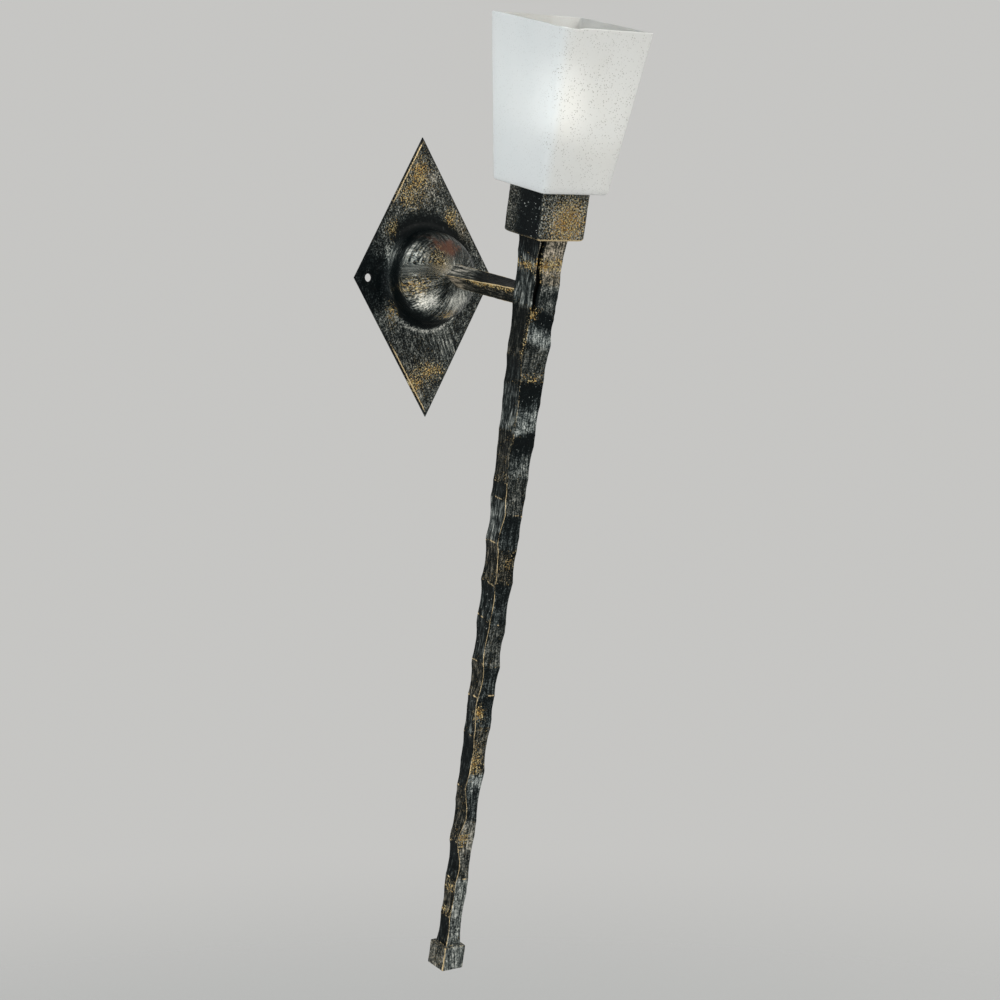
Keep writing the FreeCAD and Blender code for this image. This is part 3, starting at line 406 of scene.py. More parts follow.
BLACK_TO_SILVER = (
    (0.0, (0.0012, 0.0028, 0.0033)), (0.21, (0.005, 0.008, 0.0085)), (0.375, (0.034, 0.042, 0.042)),
    (0.56, (0.155, 0.175, 0.168)), (0.75, (0.48, 0.51, 0.48)), (1.0, (0.88, 0.9, 0.86)))
GOLD_TONES = ((0.45, (0.1, 0.062, 0.024)), (0.75, (0.35, 0.26, 0.095)), (1.0, (0.68, 0.59, 0.36)))
DEEP_GOLD, BROWN_GLAZE, RUST = (0.95, 0.74, 0.46), (1.0, 0.7, 0.46), (0.098, 0.045, 0.03)
# The seam's black is painted shade inside the open seam.
WORN_EDGE, SEAM_SHADE_BLACK = (0.64, 0.49, 0.27), (0.001, 0.001, 0.001)


def patina_material():
    """Near-black iron, dry-brushed silver and gold, rusty in places and worn bright along its edges; its level
    also carries painted light and shade, and the open seam is painted black as shade.
    """
    shader = Shader("patinated_iron")  # the noises' scales are in lumps per metre
    grain = shader.attribute("grain", "Vector")
    level, gold, rust = shader.channels("tone")
    worn, brown, slit = shader.channels("wear_and_seam_shade")
    stroke_share, specks, _ = shader.channels("brush")

    strokes = shader.remap(shader.noise(shader.place((1, 1, 0.1), grain), 650, 4.0, 0.65), 0.34, 0.66)
    speckle = shader.remap(shader.noise(grain, 640, 3.0, 0.72, 1.5), 0.36, 0.64)
    gold_grain = shader.remap(shader.noise(grain, 600, 3.0, 0.7, 4.0), 0.34, 0.66)
    clouds = shader.remap(shader.noise(grain, 150, 4.0, 0.6, 3.5), 0.32, 0.68)
    sparks = shader.remap(shader.noise(shader.place((1, 1, 0.5), grain), 650, 1.0, 0.5, 7.0), 0.64, 0.72)

    texture = shader.between(speckle, strokes, stroke_share)
    tone = shader.math("MULTIPLY_ADD", texture, 1.05, shader.math("MULTIPLY_ADD", level, 1.75, -1.08))
    tone = shader.math("MULTIPLY_ADD", clouds, 0.28, tone)
    tone = shader.math("MAXIMUM", shader.math("MULTIPLY", sparks, specks), tone)
    colour = shader.ramp(shader.math("MULTIPLY", tone, 0.75), *BLACK_TO_SILVER)
    colour = shader.blend(colour, BROWN_GLAZE, shader.math("MULTIPLY", brown, 0.85), "MULTIPLY")
    colour = shader.blend(colour, RUST, shader.cover(rust, clouds, 0.6))
    tint = shader.remap(shader.noise(grain, 260, 2.0, 0.6, 9.0), 0.42, 0.6)
    brushed = shader.ramp(gold_grain, *GOLD_TONES)
    brushed = shader.blend(brushed, DEEP_GOLD, tint, "MULTIPLY")
    colour = shader.blend(colour, brushed, shader.cover(gold, gold_grain, 0.2))
    colour = shader.blend(colour, WORN_EDGE, shader.cover(worn, texture, 0.45))
    # painted shade in the open seam
    colour = shader.blend(colour, SEAM_SHADE_BLACK, slit)
    shader.set(Base_Color=colour, Metallic=shader.remap(tone, 0.3, 0.8, 0.0, 0.55), Specular_IOR_Level=0.07)
    shader.set(Roughness=shader.remap(texture, 0.0, 1.0, 0.5, 0.34))
    shader.bump(shader.math("ADD", texture, shader.math("MULTIPLY", clouds, 0.8)), 0.3)
    return shader.material


GLASS_CLOUD, GLASS_SEED = (0.9, 0.91, 0.9), (0.32, 0.31, 0.27)
# Painted light: the warm white of the lit front and the cool white of the left.
GLASS_FRONT_LIGHT, GLASS_LEFT_LIGHT = (0.83, 0.825, 0.79), (0.84, 0.865, 0.86)


def glass_material():
    """Satin white glass with small seeds, mostly in its front."""
    shader = Shader("frosted_glass")
    where = shader.place()
    # the tint carries painted light on the faces and painted shade inside the mouth
    tint = shader.attribute("tint")
    cloud = shader.noise(where, 22, 2.0)
    cells = shader.add("ShaderNodeTexVoronoi", feature="F1")
    shader.fill(cells, Vector=where, Scale=540)
    dots = shader.remap(cells.outputs["Distance"], 0.16, 0.32, 1.0, 0.0)
    some = shader.remap(shader.noise(where, 110, 2.0, 0.6, 3.0), 0.38, 0.52)
    seeds = shader.math("MULTIPLY", dots, some)
    seeds = shader.math("MULTIPLY", seeds, shader.attribute("seeds", "Fac"))
    colour = shader.blend(tint, GLASS_CLOUD, shader.remap(cloud, 0.35, 0.65, 0.0, 0.35))
    shader.set(Base_Color=shader.blend(colour, GLASS_SEED, seeds))
    shader.set(Roughness=0.52, IOR=1.47, Transmission_Weight=0.32, Specular_IOR_Level=0.4)
    shader.set(Coat_Weight=0.12, Coat_Roughness=0.25)
    shader.bump(shader.math("ADD", shader.noise(where, 900, 2.0), seeds), 0.06)
    return shader.material


def plain_shader(name, colour, second, roughness, metallic=0.0, scale=260, bump=0.08, spread=(0.4, 0.66)):
    """A material of two near tones with a fine, even texture."""
    shader = Shader(name)
    where = shader.place()
    cloud = shader.noise(where, scale, 4.0, 0.6)
    fine = shader.noise(where, scale * 8, 2.0, 0.6, 2.0)
    shader.set(Base_Color=shader.blend(colour, second, shader.remap(cloud, *spread)))
    shader.set(Metallic=metallic, Roughness=shader.remap(fine, 0.3, 0.7, roughness * 0.85, roughness * 1.15))
    shader.bump(fine, bump, 0.0002)
    return shader


GLOW_REACH, GLOW_STRENGTH = (0.026, 0.044), (3.8, 0.15)


def lamp_material():
    """Opal diffuser that glows at its widest place and fades towards its tip and its cap."""
    shader = plain_shader("opal", (0.9, 0.88, 0.82), (0.93, 0.92, 0.88), 0.35, scale=60, bump=0.02)
    away = shader.distance((TORCH_FRAME @ LAMP_MIDDLE) * MM)
    glow = shader.remap(away, *GLOW_REACH, *GLOW_STRENGTH)
    shader.set(Emission_Color=(1.0, 0.99, 0.97), Emission_Strength=glow)
    return shader.material


# ---- stem

def stem_half(depth):
    left = max(0.0, 1 - depth / STEM_LENGTH)
    return (STEM_TIP + (STEM_HEAD - STEM_TIP) * left ** STEM_TAPER) / 2


def dents(blows):
    """Top, bottom and fullness of each dent from the collar down."""
    spans = []
    depth = 0.0
    while depth < STEM_LENGTH:
        blow = blows[len(spans) % len(blows)]
        length = BLOW_PITCH * blow / 100
        end = depth + length
        if STEM_LENGTH - end < 0.5 * length:
            end = STEM_LENGTH
        spans.append((depth, end, min(1.0, blow / FULL_BLOW)))
        depth = end
    return spans


@dataclass
class Hammered:
    """One face of the stem: how far it stands from the axis, and how each of its dents is finished, with painted
    shade and light.
    """
    blows: tuple
    finish: str
    gold: tuple
    strokes: float
    crest_light: float
    seed: float
    lifts: tuple = ()

    def __post_init__(self):
        self.dents = dents(self.blows)
        crests = len(self.dents) + 1
        self.slants = [4.0 * rough((index * 9.1, self.seed, 0), 1.7, self.seed) for index in range(crests)]
        self.lifts = self.lifts or [0.0] * crests

    def crest(self, index, across):
        if index == 0:
            return 0.0
        if index == len(self.dents):
            return STEM_LENGTH
        bow = 2.0 * rough((across * 1.5, index, self.seed), 1.3)
        lift = self.lifts[index] * (1 - 0.5 * across)
        return self.dents[index][0] + self.slants[index] * across + bow - lift

    def find(self, depth, across):
        """The dent's number, how far down it a place is from 0 to 1, and the way to its nearer crest."""
        for index in range(len(self.dents)):
            low = self.crest(index + 1, across)
            if depth <= low or index == len(self.dents) - 1:
                high = self.crest(index, across)
                break
        share = clamp((depth - high) / (low - high))
        return index, share, min(depth - high if index else STEM_LENGTH, low - depth)

    def stand(self, depth, across):
        index, share, _ = self.find(depth, across)
        hollow = BLOW_DEPTH * self.dents[index][2] * 4 * share * (1 - share)
        spot = (across * 9, depth, self.seed * 3)
        return stem_half(depth) - hollow + 0.18 * rough(spot, 7.0) + 0.08 * rough(spot, 2.2)

    def finish_of(self, index):
        return DENT_FINISH_AND_SHADING[self.finish[index % len(self.finish)]]

    def look(self, depth, across, edge, bright_edge):
        """The finish at a place; edge is the way in mm to the nearer of the face's edges."""
        index, share, crest = self.find(depth, across)
        fade = 2.5 + 3.0 * rough((across * 4, index * 5, self.seed), 2.0)
        beyond = 0.5 * (1 - smooth(0, max(0.8, fade), crest))
        neighbour = min(max(index + (1 if share > 0.5 else -1), 0), len(self.dents) - 1)
        head, foot, gold, brown, specks = self.finish_of(index)
        # The head and foot levels carry the dent's painted shade and painted light.
        level = mix(head, foot, smooth(0.12, 0.72, share))
        there = self.finish_of(neighbour)
        across_crest = (there[0 if share > 0.5 else 1], *there[2:])
        level, gold, brown, specks = (mix(own, other, beyond) for own, other in
                                      zip((level, gold, brown, specks), across_crest))
        level += 0.22 * rough((across * 7, depth, self.seed), 8.0)
        gold += sum(amount * bell(depth - place, reach) * bell(across - at, wide)
                    for place, at, reach, wide, amount in self.gold)
        gold += 0.1 * smooth(0.72, 0.95, share) * (0.5 + rough((across * 8, depth, 5), 6.0))
        broken = clamp(self.crest_light + 1.2 * rough((across * 5, index * 7, self.seed), 3.0))
        line = mix(0.25, 0.95, smooth(170, 250, depth)) * bell(crest, 0.65) * broken
        rim = bell(edge, 0.45) * bright_edge
        return Finish(level, gold, brown, max(line, rim), strokes=self.strokes, specks=specks)


FRONT = Hammered(FRONT_BLOWS, FRONT_FINISH, FRONT_GOLD, strokes=0.5, crest_light=0.25, seed=1.0, lifts=FRONT_LIFTS)
RIGHT = Hammered(RIGHT_BLOWS, RIGHT_FINISH, RIGHT_GOLD, strokes=0.5, crest_light=0.3, seed=2.0)
BACK = Hammered(BACK_BLOWS, BACK_FINISH, BACK_GOLD, strokes=0.6, crest_light=0.3, seed=3.0)
LEFT = Hammered(LEFT_BLOWS, LEFT_FINISH, LEFT_GOLD, strokes=0.85, crest_light=0.52, seed=4.0)
EDGE_STEPS, RING_PITCH = (0.25, 0.6, 1.0), 1.3
ALONG_EDGE = Vector((0.79, -0.61, 0))


def seam_edges(depth):
    """Where the open seam's two lips start and end, past the rounding of the front left edge."""
    start = 0.15 + 0.25 * (1 + rough((depth, 0, 0), 9.0))
    end = start + SEAM_WIDTH + 1.6 * bell(depth - 42, 14)
    return start, start + 0.4, end, end + 0.5


def ridge_light(depth):
    """How bright the front left edge is worn: faint below the seam, bright lower down."""
    bright = 0.5 * smooth(66, 72, depth) + 0.4 * smooth(200, 250, depth)
    return bright + 0.3 * rough((depth, 3, 1), 20.0) + 0.25 * rough((depth, 8, 2), 4.0)


def stem_ring(depth):
    """Places and finishes round one section of the stem, from its front left corner."""
    front, right, back, left = (face.stand(depth, 0) for face in (FRONT, RIGHT, BACK, LEFT))
    drawn = ALONG_EDGE * turns_at(EDGE_TURNS, depth)
    seam_open = 1 - smooth(SEAM_LENGTH * 0.88, SEAM_LENGTH, depth)
    points, finishes = [], []
    sides = ((FRONT, left, right), (RIGHT, front, back), (BACK, right, left), (LEFT, back, front))
    for turn, (face, before, after) in enumerate(sides):
        facing = quarter(turn)
        width = before + after
        near = 0.75 + 0.35 * rough((turn * 7, depth, 0), 11.0)
        far = 0.75 + 0.35 * rough((turn * 7 + 7 if turn < 3 else 0, depth, 0), 11.0)
        runs = [near * step for step in EDGE_STEPS]
        seam = [near + edge for edge in seam_edges(depth)]
        if face is FRONT:
            runs += seam
        first, last = runs[-1], width - far
        runs += [mix(first, last, step / 8) for step in range(1, 8)]
        runs += [width - far * step for step in reversed(EDGE_STEPS[1:])]
        for run in runs:
            across = 2 * run / width - 1
            short = max(0.0, 1 - run / near, 1 - (width - run) / far)
            reach = near if run < width / 2 else far
            stand = face.stand(depth, across) - reach * (1 - sqrt(1 - short * short))
            in_seam = seam_open if face is FRONT and seam[1] <= run <= seam[2] else 0.0
            point = facing @ Vector((run - before, SEAM_DEPTH * in_seam - stand, -depth))
            at_ridge = False
            if face is FRONT:
                point += drawn * (1 - run / width)
                at_ridge = run < width / 2
            elif face is LEFT:
                point += drawn * (run / width)
                at_ridge = run > width / 2
            edge_light = ridge_light(depth) if at_ridge else 0.3
            finish = face.look(depth, across, min(run, width - run), edge_light)
            if face is FRONT:
                # Painted shade: black inside the open seam, and darker beside its right lip, widest near the
                # collar and about 48 mm down.
                finish.slit = smooth(0.1, 0.6, in_seam)
                seam_shade_reach = 1.2 + 3.0 * bell(depth - 4, 10) + 3.0 * bell(depth - 48, 13)
                finish.level -= 1.4 * seam_open * (1 - smooth(0, seam_shade_reach, run - seam[2])) * smooth(0, 1, run - near)
            finishes.append(finish)
            points.append(point)
    return points, finishes


def make_stem():
    steps = int(STEM_LENGTH / RING_PITCH)
    rings, finishes = zip(*(stem_ring(STEM_LENGTH * step / steps) for step in range(steps + 1)))
    stem = loft("forged_stem", rings, sharp=50)
    paint(stem, joined(rings), joined(finishes))
    return stem


# ---- wall plate

# Brush marks on the plate: place, half width and half height, then what each adds; the one at (-41, 18) is a
# painted highlight on the flare.
PLATE_MARKS_AND_FLARE_HIGHLIGHT = (
    (-4, 95, 9, 13, {"gold": 0.5}), (-17, 75, 13, 12, {"gold": 0.34}), (9, 86, 8, 14, {"level": 0.2}),
    (30, 54, 7, 9, {"gold": 0.45}), (-35, 44, 7, 9, {"gold": 0.4}),
    (-58, -2, 24, 24, {"level": -0.6, "gold": -0.1, "brown": -0.3}),
    (-41, 18, 5, 13, {"level": 0.42}), (-37, -31, 6, 12, {"gold": 0.42, "level": 0.25}),
    (-48, -37, 8, 8, {"level": 0.2}), (-7, -66, 16, 12, {"level": -0.14}),
    (24, -61, 16, 13, {"level": 0.14, "strokes": 0.4}), (7, -86, 14, 7, {"gold": 0.45}),
    (-14, -98, 8, 9, {"gold": 0.45}), (1, -118, 9, 9, {"level": 0.08}), (4, 116, 6, 10, {"level": -0.15}),
    (42, 36, 10, 20, {"level": 0.18, "gold": 0.1, "brown": 0.5}), (50, -44, 20, 20, {"level": -0.12}),
    (0, 86, 24, 26, {"brown": 0.3, "gold": 0.06}), (-10, -92, 22, 20, {"brown": 0.3, "gold": 0.06}))
# Brush marks on the dome, as above; those at (-31, 20), (-22, -22) and (7, -22) are painted highlights.
DOME_MARKS_AND_HIGHLIGHTS = (
    (-31, 20, 9, 11, {"level": 0.36}), (-2, 27, 16, 9, {"rust": 0.7}),
    (-15, 14, 10, 12, {"brown": 0.5, "gold": 0.26}), (-10, -14, 4, 14, {"level": -0.35}),
    (-22, -22, 11, 9, {"level": 0.82, "strokes": -0.35}),
    (-33, -8, 10, 9, {"gold": 0.3, "level": 0.15, "brown": 0.5, "strokes": -0.25}),
    (7, -22, 13, 11, {"level": 0.68}), (4, -34, 9, 4, {"gold": 0.4, "brown": 0.4}),
    (-6, 4, 9, 8, {"level": 0.45}))


# How the sheet falls away at its edge: way in from the edge, depth below its face.
EDGE_ZONE, FACE_DROP = 4.0, 0.1
EDGE_ROLL = (
    (EDGE_ZONE, FACE_DROP), (3.0, 0.1), (2.2, 0.12), (1.6, 0.2), (1.0, 0.4), (0.4, 0.7), (0.0, 1.0), (0.0, SHEET))
STROKE_RADIUS = 36.0  # where the strokes round the dome have their true width


def dome_profile():
    """(radius, out) points over the dome and round its flared foot, for the sheet's face and its back."""
    flare_out = SHEET + FLARE_RADIUS
    lift = flare_out - DOME_CENTRE
    reach = DOME_RADIUS + FLARE_RADIUS
    flare_edge = sqrt(reach * reach - lift * lift)
    turn = asin(lift / reach)
    face, back = [], []
    for angle in spaced(radians(4), pi / 2 - turn, 40):
        for line, radius in ((face, DOME_RADIUS), (back, DOME_RADIUS - SHEET)):
            line.append((radius * sin(angle), DOME_CENTRE + radius * cos(angle)))
    for step in range(1, 15):
        sweep = mix(pi / 2 + turn, 0, step / 14)
        for line, radius in ((face, FLARE_RADIUS), (back, FLARE_RADIUS + SHEET)):
            line.append((flare_edge - radius * sin(sweep), flare_out - radius * cos(sweep)))
    return face, back


def plate_edge(angle, inset=0.0):
    """From the plate's centre to a line along its edge, in a direction."""
    edge = 1 / (abs(cos(angle)) / PLATE_HALF_WIDTH + abs(sin(angle)) / PLATE_HALF_HEIGHT)
    return edge * (1 - inset / PLATE_REACH)


def plate_ring(radius_at, out_at, steps=176):
    points = []
    for step in range(steps):
        angle = tau * step / steps
        radius = radius_at(angle)
        points.append((radius * cos(angle), -out_at(angle, radius), radius * sin(angle)))
    return points


def plate_waves(angle, radius):
    """The sheet is beaten, so its face is a little uneven."""
    place = (radius * cos(angle), radius * sin(angle), 0)
    return 0.22 * rough(place, 15.0) + 0.07 * rough(place, 5.0)


def make_plate():
    """The pressed sheet in one skin: dome, flare and flat, over the edge and back behind."""
    face, back = dome_profile()
    foot = face[-1][0]
    rings = [plate_ring(lambda angle: radius, lambda angle, r: out + plate_waves(angle, r) * smooth(6, 14, r))
             for radius, out in face]
    for step in range(1, 12):
        rings.append(plate_ring(lambda angle: mix(foot, plate_edge(angle, EDGE_ZONE), step / 12),
                                lambda angle, r: SHEET + plate_waves(angle, r) * 0.8 - FACE_DROP))
    for inset, sunk in EDGE_ROLL:
        rings.append(plate_ring(lambda angle: plate_edge(angle, inset), lambda angle, r: SHEET - sunk))
    for share in (0.66, 0.33):
        rings.append(plate_ring(lambda angle: mix(foot, plate_edge(angle), share), lambda angle, r: 0.0))
    for radius, out in reversed(back):
        rings.append(plate_ring(lambda angle: radius, lambda angle, r: max(0.0, out)))
    plate = loft("pressed_plate", rings, WALL_FRAME, closed=True, sharp=40)
    for side in (-1, 1):
        drill_through(plate, side * FIXING_X, FIXING_RADIUS)
    plate.data.set_sharp_from_angle(angle=radians(40))
    return paint_by_place(plate, plate_look, WALL_FRAME)


def drill_through(plate, x, radius):
    """Cut a round hole square through the sheet."""
    across = Matrix.Translation((x, 0, 0)) @ Matrix.Rotation(pi / 2, 4, "X")
    drill = loft("drill", [circle_ring(radius, -9, 40), circle_ring(radius, 9, 40)], across)
    cut = plate.modifiers.new("hole", "BOOLEAN")
    cut.operation = "DIFFERENCE"
    cut.object = drill
    ready = plate.evaluated_get(bpy.context.evaluated_depsgraph_get())
    mesh = bpy.data.meshes.new_from_object(ready)
    plate.modifiers.clear()
    plate.data = mesh
    bpy.data.objects.remove(drill)


def plate_look(point):
    """Gold towards the plate's upper and lower points, strokes that run off the dome's crown, painted highlights
    on the dome and flare, and painted shade in the flare.
    """
    x, out, z = point.x, -point.y, point.z
    radius = hypot(x, z)
    angle = atan2(z, x)
    inset = PLATE_REACH * (1 - abs(x) / PLATE_HALF_WIDTH - abs(z) / PLATE_HALF_HEIGHT)
    on_dome = 1 - smooth(40, 46, radius)
    finish = {"level": mix(0.45, 0.46, on_dome), "gold": mix(0.07, 0.09, on_dome), "brown": 0.2,
              "rust": 0.05, "strokes": mix(0.3, 0.62, on_dome), "specks": 0.5}
    for marks, share in ((PLATE_MARKS_AND_FLARE_HIGHLIGHT, 1 - on_dome), (DOME_MARKS_AND_HIGHLIGHTS, smooth(0.0, 0.5, on_dome))):
        for at_x, at_z, wide, high, added in marks:
            near = bell(x - at_x, wide) * bell(z - at_z, high) * share
            for name, amount in added.items():
                finish[name] += amount * near
    # Painted shade darkens the concave flare above, below and to the left of the dome; a painted highlight
    # lightens the flare's outer ring below it.
    up, leftward = sin(angle), -cos(angle)
    flare_shade = 0.95 * bell(radius - 49, 7.5) * smooth(0.1, 0.6, up) * (1 - smooth(0.45, 0.85, leftward))
    flare_shade += 0.8 * bell(radius - 43, 3.6) * smooth(0.25, 0.65, -up)
    flare_shade += 0.55 * bell(radius - 42.3, 0.9) * smooth(0.3, 0.7, leftward)
    finish["level"] += 0.55 * bell(radius - 49, 2.0) * smooth(0.45, 0.9, -up) - flare_shade
    finish["gold"] -= 0.3 * flare_shade
    gold_side = max(smooth(50, 80, z), smooth(-50, -70, z)) * smooth(2, -4, x)
    finish["worn"] = clamp(bell(inset - 1.9, 0.55) * (0.85 * gold_side + (0.25 if x > 0 else 0.04)))
    finish["level"] -= 0.35 * bell(inset, 1.1)
    arm_z = z - ARM_ROOT_HEIGHT
    outward, around = hypot(x, arm_z), atan2(arm_z, x) * STROKE_RADIUS
    curled = smooth(2, 12, z) * smooth(0, -10, x)
    on_crown = (mix(around, outward, curled), 0, mix(outward, around, curled))
    flat = (x + 0.35 * z, out, z - 0.6 * x)
    grain = tuple(mix(a, b, on_dome) for a, b in zip(flat, on_crown))
    if out < 0.6:
        finish.update(level=0.22, gold=0.04, worn=0.0)
    return grain, Finish(**finish)


# ---- arm

def arm_roll(share):
    return mix(ARM_ROOT_ROLL, ARM_STEM_ROLL, share)


def make_arm():
    """The twisted square bar, from inside the dome's sheet to inside the stem's wall."""
    half, ease, steps = ARM_SIDE / 2, 0.9, 56
    reach = ARM_LENGTH - STEM_HEAD / 3
    centre = ARM_FRAME.inverted() @ Vector((0, -DOME_CENTRE, 0))
    rings = []
    for step in range(steps + 1):
        along = reach * step / steps
        turn = Matrix.Rotation(arm_roll(along / ARM_LENGTH), 3, "Z")
        ring = []
        for point in rounded_square(half, ease, 0, 8, 3):
            spot = (point.x, point.y, along)
            lump = 0.16 * rough(spot, 5.0) + 0.12 * rough(spot, 13.0)
            point = turn @ (point * (1 + lump / half))
            if step == 0:
                flat = (point.x - centre.x) ** 2 + (point.y - centre.y) ** 2
                point.z = centre.z + sqrt((DOME_RADIUS - SHEET / 2) ** 2 - flat)
            else:
                point.z = along
            ring.append(point)
        rings.append(ring)
    return paint_by_place(loft("twisted_arm", rings, ARM_FRAME, sharp=45), arm_look, ARM_FRAME)


def arm_look(point):
    """Silver strokes at the dome, black on top towards the stem, gold below the ridge."""
    share = clamp(point.z / ARM_LENGTH)
    roll = arm_roll(share)
    x = point.x * cos(roll) + point.y * sin(roll)
    y = -point.x * sin(roll) + point.y * cos(roll)
    half = ARM_SIDE / 2
    edge = half - min(abs(x), abs(y))
    flank = abs(x) > abs(y)
    level = mix(0.84, 0.22, smooth(0.08, 0.36, share))
    gold, brown = 0.06, 0.4
    if flank and x < 0:
        gold += 0.5 * smooth(0.15, 0.4, share) * smooth(0, half, y)
        level -= 0.1 * smooth(0, -half, y)
        brown = 0.8
    elif y > 0:
        level -= 0.5 * smooth(0.25, 0.5, share)
    else:
        level -= 0.18
    return (x, y, point.z), Finish(level, gold, brown, worn=0.85 * bell(edge, 0.7), strokes=0.75)


# ---- collar and knob

def collar_look(point):
    """Gold at the front, black beside the front left corner, grey-brown behind that."""
    half = COLLAR_SIDE / 2
    edge = 2 * half - abs(point.x) - abs(point.y)
    across = (point.x + half) / COLLAR_SIDE
    back = (point.y + half) / COLLAR_SIDE
    worn = 0.25 * bell(edge, 1.4)
    lip = bell(point.z - 0.4, 1.5)
    grain = (point.x, point.z, point.y)
    if point.y < -half * 0.9:
        middle = bell(across - 0.58, 0.38) * bell(point.z - 17, 20)
        return grain, Finish(0.46 + 0.3 * middle, 0.1 + 0.6 * middle, 0.2 + 0.3 * middle,
                             max(worn, 0.98 * lip), strokes=0.1, specks=0.6)
    if point.x < -half * 0.9:
        behind = smooth(0.5, 0.78, back)
        return grain, Finish(mix(-0.25, 0.4, behind), 0.1 * behind, behind * 0.4,
                             max(worn, 0.3 * lip), strokes=0.15, specks=mix(1.0, 0.4, behind))
    return grain, Finish(0.34, 0.3, 0.7, max(worn, 0.5 * lip), rust=0.1, strokes=0.2)


def make_collar():
    half = COLLAR_SIDE / 2
    top = FLOOR_GAUGE + TUBE_HEIGHT
    outside = [rounded_square(half, COLLAR_CORNER, height, 16, 4) for height in spaced(FLOOR_GAUGE, top, 20)]
    inside = [rounded_square(half - COLLAR_WALL, 0.6, height, 16, 4) for height in (top, FLOOR_GAUGE)]
    roughen(outside[1:-1], 0.25, 11.0)
    tube = loft("forged_collar", outside + inside, closed=True, sharp=50)
    return paint_by_place(tube, collar_look)


def make_collar_floor():
    """The plate that closes the collar: its lower edge is rounded over and worn bright."""
    outside = [rounded_square(COLLAR_SIDE / 2 + growth, COLLAR_CORNER, height, 16, 4)
               for height, growth in ((0.0, -3.0), (0.35, -1.9), (1.0, -0.9), (2.0, -0.2), (3.0, 0.0))]
    roughen(outside, 0.12, 7.0)
    inside = [circle_like(outside[0], NIPPLE_HOLE, height) for height in (FLOOR_GAUGE, 0.0)]
    plate = loft("collar_base", outside + inside, closed=True, sharp=45)
    return paint_by_place(plate, collar_look)


def knob_look(point):
    """Slate in front, brown at the left, light along the edges."""
    half = KNOB_SIDE / 2
    middle = -STEM_LENGTH - KNOB_HEIGHT / 2
    inset = sorted((half - abs(point.x), half - abs(point.y), KNOB_HEIGHT / 2 - abs(point.z - middle)))
    front = point.y < -half * 0.9
    near_ridge = point.x < -half * 0.8 and point.y < -half * 0.8
    worn = (0.95 if near_ridge else 0.5) * bell(inset[1], 0.8)
    level = (0.68 if front else 0.58) + 0.15 * rough(point, 8)
    return (point.x + 0.2 * point.z, point.y, point.z), Finish(
        level, 0.03 if front else 0.12, 0.1 if front else 0.5, worn, strokes=0.6)


def make_knob():
    """A hammered square block with eased edges."""
    half = KNOB_SIDE / 2
    top, foot = -STEM_LENGTH, -STEM_LENGTH - KNOB_HEIGHT
    levels = [(foot, half - KNOB_BEVEL), (foot + KNOB_BEVEL * 0.4, half - KNOB_BEVEL * 0.3)]
    levels += [(height, half) for height in spaced(foot + KNOB_BEVEL, top - KNOB_BEVEL, 12)]
    levels += [(top - KNOB_BEVEL * 0.4, half - KNOB_BEVEL * 0.3), (top, half - KNOB_BEVEL)]
    rings = [rounded_square(size, KNOB_BEVEL, height, 12, 3) for height, size in levels]
    roughen(rings, 0.3, 7.0)
    inner_foot, inner_top = ([point.lerp(Vector((0, 0, point.z)), 0.5) for point in ring]
                             for ring in (rings[0], rings[-1]))
    knob = loft("forged_knob", [inner_foot, *rings, inner_top], sharp=45)
    return paint_by_place(knob, knob_look)


# ---- shade

def glass_outer(height):
    """Half the side of the glass at a height in the torch frame."""
    return (SHADE_FOOT + (SHADE_MOUTH - SHADE_FOOT) * (height - GLASS_FOOT) / SHADE_HEIGHT) / 2


def make_shade():
    """The flared square glass in one closed skin: outside, rim, inside, floor and hole."""
    top = GLASS_FOOT + SHADE_HEIGHT
    floor = GLASS_FOOT + GLASS_FLOOR
    rim = 0.9

    def square(half, corner, height):
        return rounded_square(half, corner, height, 14, 5)

    rings = [square(glass_outer(GLASS_FOOT) - SHADE_EASE, SHADE_CORNER - 1, GLASS_FOOT),
             square(glass_outer(GLASS_FOOT) - 0.5, SHADE_CORNER, GLASS_FOOT + 0.5)]
    for height in spaced(GLASS_FOOT + SHADE_EASE, top - rim, 40):
        rings.append(square(glass_outer(height), SHADE_CORNER, height))
    turns = (0.35, 0.7, 1.05, 1.4)
    for turn in turns:
        rings.append(square(glass_outer(top) - rim * (1 - cos(turn)), SHADE_CORNER,
                            top - rim * (1 - sin(turn))))
    for turn in reversed(turns):
        rings.append(square(glass_outer(top) - GLASS_WALL + rim * (1 - cos(turn)), SHADE_CORNER / 2,
                            top - rim * (1 - sin(turn))))
    for height in spaced(top - rim, floor + 1.5, 16):
        rings.append(square(glass_outer(height) - GLASS_WALL, SHADE_CORNER / 2, height))
    for inset, height in ((GLASS_WALL + 0.5, floor + 0.4), (GLASS_WALL + 1.5, floor)):
        rings.append(square(glass_outer(floor) - inset, SHADE_CORNER / 2, height))
    for point in joined(rings[2:]):
        point.xy *= 1 + 0.12 * rough(point, 30.0) / glass_outer(point.z)
        point.z -= rim_dip(point) * smooth(top - 6, top, point.z)
    for radius, height in ((GLASS_HOLE + 0.4, floor), (GLASS_HOLE, floor - 0.4),
                           (GLASS_HOLE, GLASS_FOOT + 0.4), (GLASS_HOLE + 0.4, GLASS_FOOT)):
        rings.append(circle_like(rings[0], radius, height))
    shade = loft("frosted_shade", rings, closed=True, sharp=40)
    places = places_of(shade)
    store(shade, "tint", "FLOAT_COLOR", "color", [(*glass_tint(place), 1.0) for place in places])
    store(shade, "seeds", "FLOAT", "value", [(glass_seeds(place),) for place in places])
    return shade


